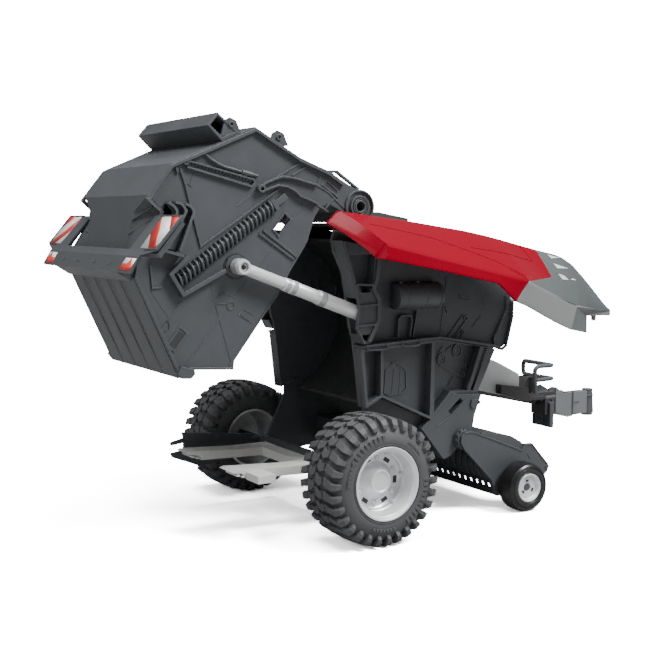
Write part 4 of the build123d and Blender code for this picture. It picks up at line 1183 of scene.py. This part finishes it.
class BALER_OT_body_sides(EachSide, bpy.types.Operator):
    """Adds the ribs, tanks' bands, clips and raised shapes of the body's sides"""

    bl_idname = "baler.body_sides"
    bl_label = "Body sides"

    def build(self, side, hand):
        bm = bmesh.new()
        ribs(bm, BODY_RIBS, -0.2, hand, follow=True)
        for x, z, outer, inner in BODY_RINGS:
            ring(bm, x, z, outer, inner, SHELL - 0.2, SHELL + 0.9, hand, follow=True)
        for x, z, outer, inner in BODY_RINGS[:3]:
            ring(bm, x, z, outer * 0.56, inner * 0.40, SHELL - 0.2, SHELL + 0.5, hand, follow=True)
        rib(bm, [(90.9, 138.1), (99.0, 135.9), (98.5, 133.9), (90.9, 136.4)], 0.5, SHELL - 0.2, SHELL + 0.5,
            hand, follow=True, closed=True)
        ribs(bm, EDGE_RIBS, -0.2, hand)
        ribs(bm, STEP_RIBS, 10.6, hand)
        ribs(bm, FLANGE_RIBS, 10.4, hand)
        # web between the wall and the front channel
        prism(bm, [(136.2, 134.4), (137.0, 126.0), (125.4, 107.6), (126.6, 104.4), (131.6, 102.6),
                   (138.0, 103.6), (143.4, 124.6), (143.0, 133.0)], SHELL - 1.6, SHELL - 0.2, hand,
              follow=True)
        # clips hanging from the shelf
        for path in ([(13.5, 111.4), (13.9, 109.1), (26.8, 108.7), (26.6, 111.6)],
                     [(38.6, 112.6), (39.3, 109.9), (50.6, 109.8), (51.4, 112.8)]):
            tube(bm, smooth_path([at(x, SHELL + 8.2, z, hand) for x, z in path], 4), 0.6, 8)
        moulded("body_relief_" + side, bm, "chassis", 0.00015)
        # bands and lugs of the tank
        bm = bmesh.new()
        low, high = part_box("side_tanks")
        tank_z = (low.z + high.z) / 2 / MM
        tank_r = (high.z - low.z) / 2 / MM
        tank_x = (low.x - AXLE) / MM
        tank_out = high.y / MM - tank_r
        for x in (6.3, 20.5, 31.6):
            turned_bar(bm, (tank_x + x - 0.5, tank_z), (tank_x + x + 0.5, tank_z), tank_out,
                       [(0, tank_r), (0.2, tank_r + 0.35), (0.8, tank_r + 0.35), (1, tank_r)], hand, 48)
        for x in (4.0, 17.0):
            block_at(bm, tank_x + x, tank_z + tank_r + 0.2, 2.0, 1.6, tank_out - 0.6, tank_out + 1.8, hand)
        turned_bar(bm, (tank_x - 0.4, tank_z), (tank_x + 0.2, tank_z), tank_out,
                   [(0, tank_r - 1.0), (0.6, tank_r - 0.1), (1, tank_r - 0.1)], hand, 48)
        moulded("tank_bands_" + side, bm, "chassis", 0.0001)
        # painted shade: a row of small black discs and two black strips stand for holes and slots, dark as their
        # hollows in shade
        dark = bmesh.new()
        for k in range(7):
            ring(dark, 110.6 + 0.6 * k, 139.6 - 1.5 * k, 0.42, 0.01, SHELL - 0.2, SHELL + 0.12, hand,
                 follow=True, sides=10)
        rib(dark, [(102.6, 117.4), (111.4, 124.6)], 1.5, SHELL - 0.3, SHELL + 0.1, hand, follow=True)
        rib(dark, [(79.8, 81.2), (84.4, 87.0)], 2.2, SHELL - 0.3, SHELL + 0.12, hand, follow=True)
        make("body_slots_" + side, dark, "chassis", "black")
        # fine ticks on the first sloping beam
        tick = bmesh.new()
        rib(tick, [(91.6, 80.2), (95.0, 79.2)], 0.35,
            flank(93.0, SHELL + 6.9), flank(93.0, SHELL + 7.25), hand)
        ticks = repeated(tick, "dark", 24, (0.70 * MM, -hand * 0.70 * TURN_IN * MM, 1.0 * MM))
        dress("beam_ticks_" + side, ticks, "chassis", "dark")
        # raised boss and fold of the lower bracket
        bm = bmesh.new()
        rib(bm, [(91.0, 73.9), (75.0, 62.0), (66.0, 57.4)], 0.8, SHELL + 5.8, SHELL + 6.4, hand)
        prism(bm, [(93.0, 72.2), (97.4, 72.6), (98.8, 69.4), (94.6, 66.4), (92.2, 68.0)], SHELL + 5.8,
              SHELL + 7.2, hand)
        ring(bm, 98.6, 70.4, 1.1, 0.5, SHELL + 5.8, SHELL + 7.8, hand, sides=12)
        moulded("bracket_relief_" + side, bm, "chassis", SOFT)


STRIPPERS = 19  # ribs across the pickup between its plates


class BALER_OT_pickup(bpy.types.Operator):
    """Adds the pickup's stripper ribs, side plate edges and pivot tubes"""

    bl_idname = "baler.pickup"
    bl_label = "Pickup"

    def execute(self, context):
        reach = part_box("pickup_comb")[1].y / MM
        pivot = Vector(JOINTS["pickup_hinge"]["pos_m"])
        pin = ((pivot.x - AXLE) / MM, pivot.z / MM)
        for side, hand in HANDS.items():
            bm = bmesh.new()
            ring(bm, *pin, 6.6, 4.3, SHELL + 6.3, SHELL + 8.6, hand)
            ring(bm, *pin, 6.0, 4.3, SHELL + 8.4, SHELL + 10.4, hand)
            for k, spot in enumerate(disc(*pin, 6.2, 12)):
                block_at(bm, *spot, 1.0, 1.0, SHELL + 6.4, SHELL + 10.0, hand, 30 * k)
            moulded("pickup_pivot_" + side, bm, "pickup", SOFT)
            bm = bmesh.new()
            out = SHELL + 12.0
            rib(bm, [(84.2, 52.6), (90.2, 52.6), (107.7, 45.9), (130.6, 36.6), (134.2, 39.9), (139.5, 39.9),
                     (152.9, 25.4), (152.6, 20.9)], 1.0, out - 0.4, out + 0.45, hand)
            rib(bm, [(135.4, 34.3), (138.1, 30.2)], 0.5, out - 0.3, out + 0.3, hand)
            ring(bm, 152.6, 23.6, 1.6, 0.8, out - 0.3, out + 0.5, hand)
            moulded("pickup_plate_edge_" + side, bm, "pickup", SOFT)
        # one stripper rib, repeated across the pickup
        pitch = 2 * reach / STRIPPERS
        bm = bmesh.new()
        curve = smooth_path([Vector(p) for p in ((106.4, 19.6), (103.6, 23.0), (102.6, 28.0), (103.6, 33.6),
                                                 (106.4, 38.6))], 4)
        line = [tuple(point) for point in curve]
        prism(bm, line + [(107.0, 38.0), (107.0, 20.0)], -reach + 0.7, -reach + pitch - 0.7, LEFT)
        prism(bm, [(103.8, 37.0), (101.6, 40.8), (103.4, 41.2), (106.6, 38.4)],
              -reach + 1.6, -reach + 3.0, LEFT)
        strippers = repeated(bm, "dark", STRIPPERS, (0, pitch * MM, 0))
        dress("pickup_strippers", strippers, "pickup", "dark", SOFT)
        return {"FINISHED"}


# Strips on the jack's rear face: from and to ahead of the axle, to the left and up.
JACK_STRIPS = [(192.9, 193.7, -16.1, -15.1, 40.0, 56.4), (192.9, 193.7, -12.7, -11.7, 40.0, 56.4),
               (193.0, 193.8, -20.0, -18.4, 39.2, 56.8), (193.0, 193.8, -2.6, -1.0, 39.2, 56.8),
               (193.2, 193.7, -8.8, -8.4, 43.0, 45.6), (193.2, 193.7, -7.2, -6.8, 43.0, 45.6)]
# Half sections (height, radius) of the hitch's hollow neck and of the lips round it.
NECK = [[(55.2, 3.9), (55.4, 4.7), (56.2, 4.7), (56.4, 3.9)],
        [(59.3, 3.2), (59.5, 4.0), (60.3, 4.0), (60.5, 3.2)],
        [(43.0, 2.6), (42.8, 4.9), (48.0, 4.5), (55.0, 4.1), (60.6, 3.8), (60.6, 2.6)]]


class BALER_OT_drawbar(bpy.types.Operator):
    """Makes the hose holder and adds the fittings of the drawbar, jack and hitch"""

    bl_idname = "baler.drawbar"
    bl_label = "Drawbar"

    def execute(self, context):
        bm = bmesh.new()
        # near leg up from the deck, the top bar across and back to the far end
        loop = [(207.0, -8.6, 58.6), (193.6, -8.8, 58.6), (190.6, -8.4, 59.8), (189.8, -7.8, 62.6),
                (189.8, -7.0, 76.6), (190.4, -7.0, 79.8), (193.0, -7.0, 81.3), (196.0, -7.0, 81.5),
                (203.4, -6.8, 81.4), (205.6, -6.0, 81.4), (206.2, -4.0, 81.4), (206.2, 20.0, 81.6),
                (206.0, 23.2, 81.0), (206.0, 24.2, 78.8), (206.0, 24.2, 74.8), (206.0, 23.2, 72.4),
                (206.2, 20.0, 71.8), (206.2, -4.0, 71.8), (205.6, -6.0, 71.8), (203.4, -6.8, 71.8),
                (191.0, -7.0, 71.6)]
        tube(bm, smooth_path([at(x, y, z, LEFT) for x, y, z in loop], 5), 1.6, 14)
        piece = moulded("hose_frame", bm, "chassis")
        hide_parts("hose_holder")
        bm = bmesh.new()
        for sizes in JACK_STRIPS:
            box(bm, *sizes)
        moulded("jack_relief", bm, "jack", SOFT)
        bm = bmesh.new()
        # low step on the deck for the loop's foot, and ribs under the deck
        prism(bm, [(188.6, 62.2), (188.6, 63.0), (206.6, 63.0), (208.4, 62.2)], -8.0, 3.0, LEFT)
        for x in (174.0, 180.0, 186.0):
            box(bm, x - 0.5, x + 0.5, -19.0, 24.0, 58.6, 60.2)
        # the hitch's neck with its two lips, and the two plates of its arm
        ahead, aside = Vector((1, 0, 0)), Vector((0, 1, 0))
        for profile in NECK:
            bridge(bm, [hoop(bm, at(HITCH_X, 0, z, LEFT), ahead, aside, radius, 32)
                        for z, radius in profile], loop=True)
        for side in (-1, 1):
            rib(bm, [(227.4, 43.4), (227.4, 60.6)], 1.2, 5.8, 6.6, side)
            rib(bm, [(230.0, 51.6), (236.0, 52.2)], 0.9, 3.4, 4.0, side)
            prism(bm, [(202.9, 64.4), (206.9, 66.1), (217.0, 60.5), (222.0, 42.1), (208.8, 46.9)],
                  6.0, 7.2, side)
        moulded("drawbar_fittings", bm, "chassis", SOFT)
        return {"FINISHED"}


def surface(x, row, lift, hand, turn):
    """A point lifted off the door's sheet."""
    here = Vector(door_point(x, row))
    ahead = Vector(door_point(x + 0.6, row)) - here
    across = Vector(door_point(x, min(3.0, row + 0.01))) - Vector(door_point(x, max(0.0, row - 0.01)))
    away = ahead.cross(across).normalized()
    if away.y + away.z < 0:
        away = -away
    spot = here + away * lift
    return turn @ at(spot.x, spot.y, spot.z, hand)


def door_strip(bm, points, width, height, hand, turn):
    """A low raised line on the door's sheet through points given as (place forward, row)."""
    fine = [(x0 + (x1 - x0) * k / 6, r0 + (r1 - r0) * k / 6)
            for (x0, r0), (x1, r1) in zip(points, points[1:]) for k in range(6)] + [points[-1]]
    sections = []
    for before, (x, row), after in zip(fine[:1] + fine, fine, fine[1:] + fine[-1:]):
        spots = [surface(*p, 0.0, hand, turn) for p in (before, after)]
        here = surface(x, row, 0.0, hand, turn)
        away = (surface(x, row, 1.0, hand, turn) - here).normalized()
        across = (spots[1] - spots[0]).normalized().cross(away).normalized()
        sections.append([bm.verts.new(here + across * width / 2 * side * MM + away * lift * MM)
                         for side, lift in ((-1, -0.25), (-0.5, height), (0.5, height), (1, -0.25))])
    bridge(bm, sections, capped=True)


class BALER_OT_door_details(EachSide, bpy.types.Operator):
    """Adds the swage lines, louvres, lips and pegs of the side doors"""

    bl_idname = "baler.door_details"
    bl_label = "Door details"

    def build(self, side, hand):
        turn = door_turn(hand)
        body = "door_" + side
        red = bmesh.new()
        for points, width, height in (
                ([(77.0, 1.50), (104.0, 1.44), (132.5, 1.38)], 0.7, 0.22),
                ([(132.5, 1.38), (131.0, 1.20), (128.0, 1.04)], 0.7, 0.22),
                ([(6.0, 1.40), (48.0, 1.46), (88.5, 1.70), (110.4, 1.90)], 0.6, 0.18),
                ([(99.0, 1.84), (104.5, 1.90), (110.0, 1.96)], 0.6, 0.18)):
            door_strip(red, points, width, height, hand, turn)
        make("door_swages_" + side, red, body, "red")
        nose, louvre = bmesh.new(), bmesh.new()
        # painted highlight: the raised crease line on the dark nose is painted light grey, as its edge looks where
        # it catches the light
        door_strip(nose, [(141.5, 1.02), (149.5, 1.32), (157.0, 1.64)], 0.5, 0.2, hand, turn)
        for corners in ([(152.5, 1.08), (164.0, 1.06), (154.5, 1.15)],
                        [(154.5, 1.26), (169.5, 1.22), (157.0, 1.34)],
                        [(155.5, 1.46), (176.0, 1.38), (158.0, 1.56)]):
            tops, feet = [[louvre.verts.new(surface(x, row, lift, hand, turn)) for x, row in corners]
                          for lift in (0.35, -0.3)]
            bridge(louvre, [feet, tops], capped=True)
        make("door_crease_" + side, nose, body, "nose_light")
        make("door_louvres_" + side, louvre, body, "light")
        # lip round the nose's front edge and the peg below it
        lip = bmesh.new()
        edge = [(186.2, 2.0), (191.0, 2.0), (197.0, 2.0), (204.0, 2.0), (211.2, 2.0)]
        tops = [surface(x, row, -0.1, hand, turn) for x, row in edge]
        drop = turn.to_3x3() @ Vector((0, 0, -1))
        inner = turn.to_3x3() @ Vector((0, -hand, 0))
        sections = [[lip.verts.new(p + inner * a * MM + drop * b * MM)
                     for a, b in ((0.0, 0.0), (0.0, 3.4), (1.4, 3.4), (1.4, 0.4))] for p in tops]
        bridge(lip, sections, capped=True)
        ahead, aside = [turn.to_3x3() @ Vector(way) for way in ((1, 0, 0), (0, hand, 0))]
        for radius, top, low in ((1.9, 0.0, -2.6), (1.7, -2.4, -4.2)):
            bridge(lip, [hoop(lip, turn @ at(196.6, 57.0, 122.2 + lift, hand), ahead, aside,
                              radius * share, 16) for share, lift in ((1.0, top), (0.85, low))],
                   capped=True)
        make("door_lip_" + side, lip, body, "nose_light", SOFT)


class BALER_OT_rear(bpy.types.Operator):
    """Adds the rear's lines and grooves, the hinge's cover, the roof's band and the forks' noses"""

    bl_idname = "baler.rear"
    bl_label = "Rear and forks"

    def execute(self, context):
        bm = bmesh.new()
        for hand in HANDS.values():
            # grooves across the cut corner: each runs from the panel to the side
            for a, b in (((-124.8, 33.6, 186.0), (-118.6, 47.8, 193.2)),
                         ((-126.4, 32.6, 178.6), (-118.2, 47.8, 187.0)),
                         ((-127.0, 31.8, 173.4), (-121.4, 47.8, 180.6))):
                tube(bm, [at(*a, hand), at(*b, hand)], 0.55, 8)
        for y in (-30.0, -10.0, 10.0, 30.0):
            tube(bm, [at(-131.2, y, 153.0, LEFT), at(-106.2, y, 100.4, LEFT)], 0.26, 6)
        for y in (-38.0, -13.0, 13.0, 38.0):
            tube(bm, [at(-139.8, y, 162.6, LEFT), at(-139.0, y, 163.8, LEFT)], 0.6, 12)
        moulded("rear_lines", bm, "tailgate")
        cover = bmesh.new()
        prism(cover, [(16.0, 184.4), (16.0, 190.6), (30.0, 190.8), (52.0, 187.0), (52.0, 184.0)],
              -44.0, 44.0, LEFT)
        moulded("hinge_cover", cover, "chassis", 0.0004)
        # band of short slanting strips across the roof
        strip = bmesh.new()
        tube(strip, [at(-60.0, -46.0, 236.9, LEFT), at(-62.0, -42.0, 236.0, LEFT)], 0.35, 6)
        rows = repeated(strip, "dark", 30, (0, 3.0 * MM, 0))
        dress("roof_hatch", rows, "tailgate", "dark")
        # stepped noses of the forks
        bm = bmesh.new()
        for y in (-31.0, 31.0):
            for k in range(3):
                box(bm, -64.4 + 3.2 * k, -62.4 + 3.2 * k, y - 7.6, y + 7.6, 37.4 - k, 38.6 - k)
        make("fork_noses", bm, "chassis", "light", 0.0004)
        return {"FINISHED"}


# ---------------------------------------------------------------- the add-on
OPERATORS = [BALER_OT_finish, BALER_OT_stage, BALER_OT_tyres, BALER_OT_wheels, BALER_OT_cylinders,
             BALER_OT_body_sides, BALER_OT_pickup, BALER_OT_drawbar, BALER_OT_doors,
             BALER_OT_door_details, BALER_OT_tailgate, BALER_OT_springs, BALER_OT_tail_fittings,
             BALER_OT_boards, BALER_OT_rear]
GROUPS = [("baler_finish", BalerFinish), ("baler_tread", BalerTread), ("baler_view", BalerView)]


class BALER_PT_panel(bpy.types.Panel):
    """Lists the baler's sizes, colours and pieces"""

    bl_idname = "BALER_PT_panel"
    bl_label = "Toy Round Baler"
    bl_space_type = "VIEW_3D"
    bl_region_type = "UI"
    bl_category = "Baler"

    def draw(self, context):
        for name, group in GROUPS:
            values = getattr(context.scene, name)
            for key in group.__annotations__:
                self.layout.prop(values, key)
        for operator in OPERATORS:
            self.layout.operator(operator.bl_idname)


def register():
    for cls in [group for name, group in GROUPS] + OPERATORS + [BALER_PT_panel]:
        bpy.utils.register_class(cls)
    for name, group in GROUPS:
        setattr(bpy.types.Scene, name, PointerProperty(type=group))


def unregister():
    for name, group in GROUPS:
        delattr(bpy.types.Scene, name)
    for cls in [BALER_PT_panel] + OPERATORS[::-1] + [group for name, group in GROUPS][::-1]:
        bpy.utils.unregister_class(cls)


def main():
    register()
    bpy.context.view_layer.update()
    for operator in OPERATORS:
        group, name = operator.bl_idname.split(".")
        getattr(getattr(bpy.ops, group), name)()


if __name__ == "__main__":
    main()
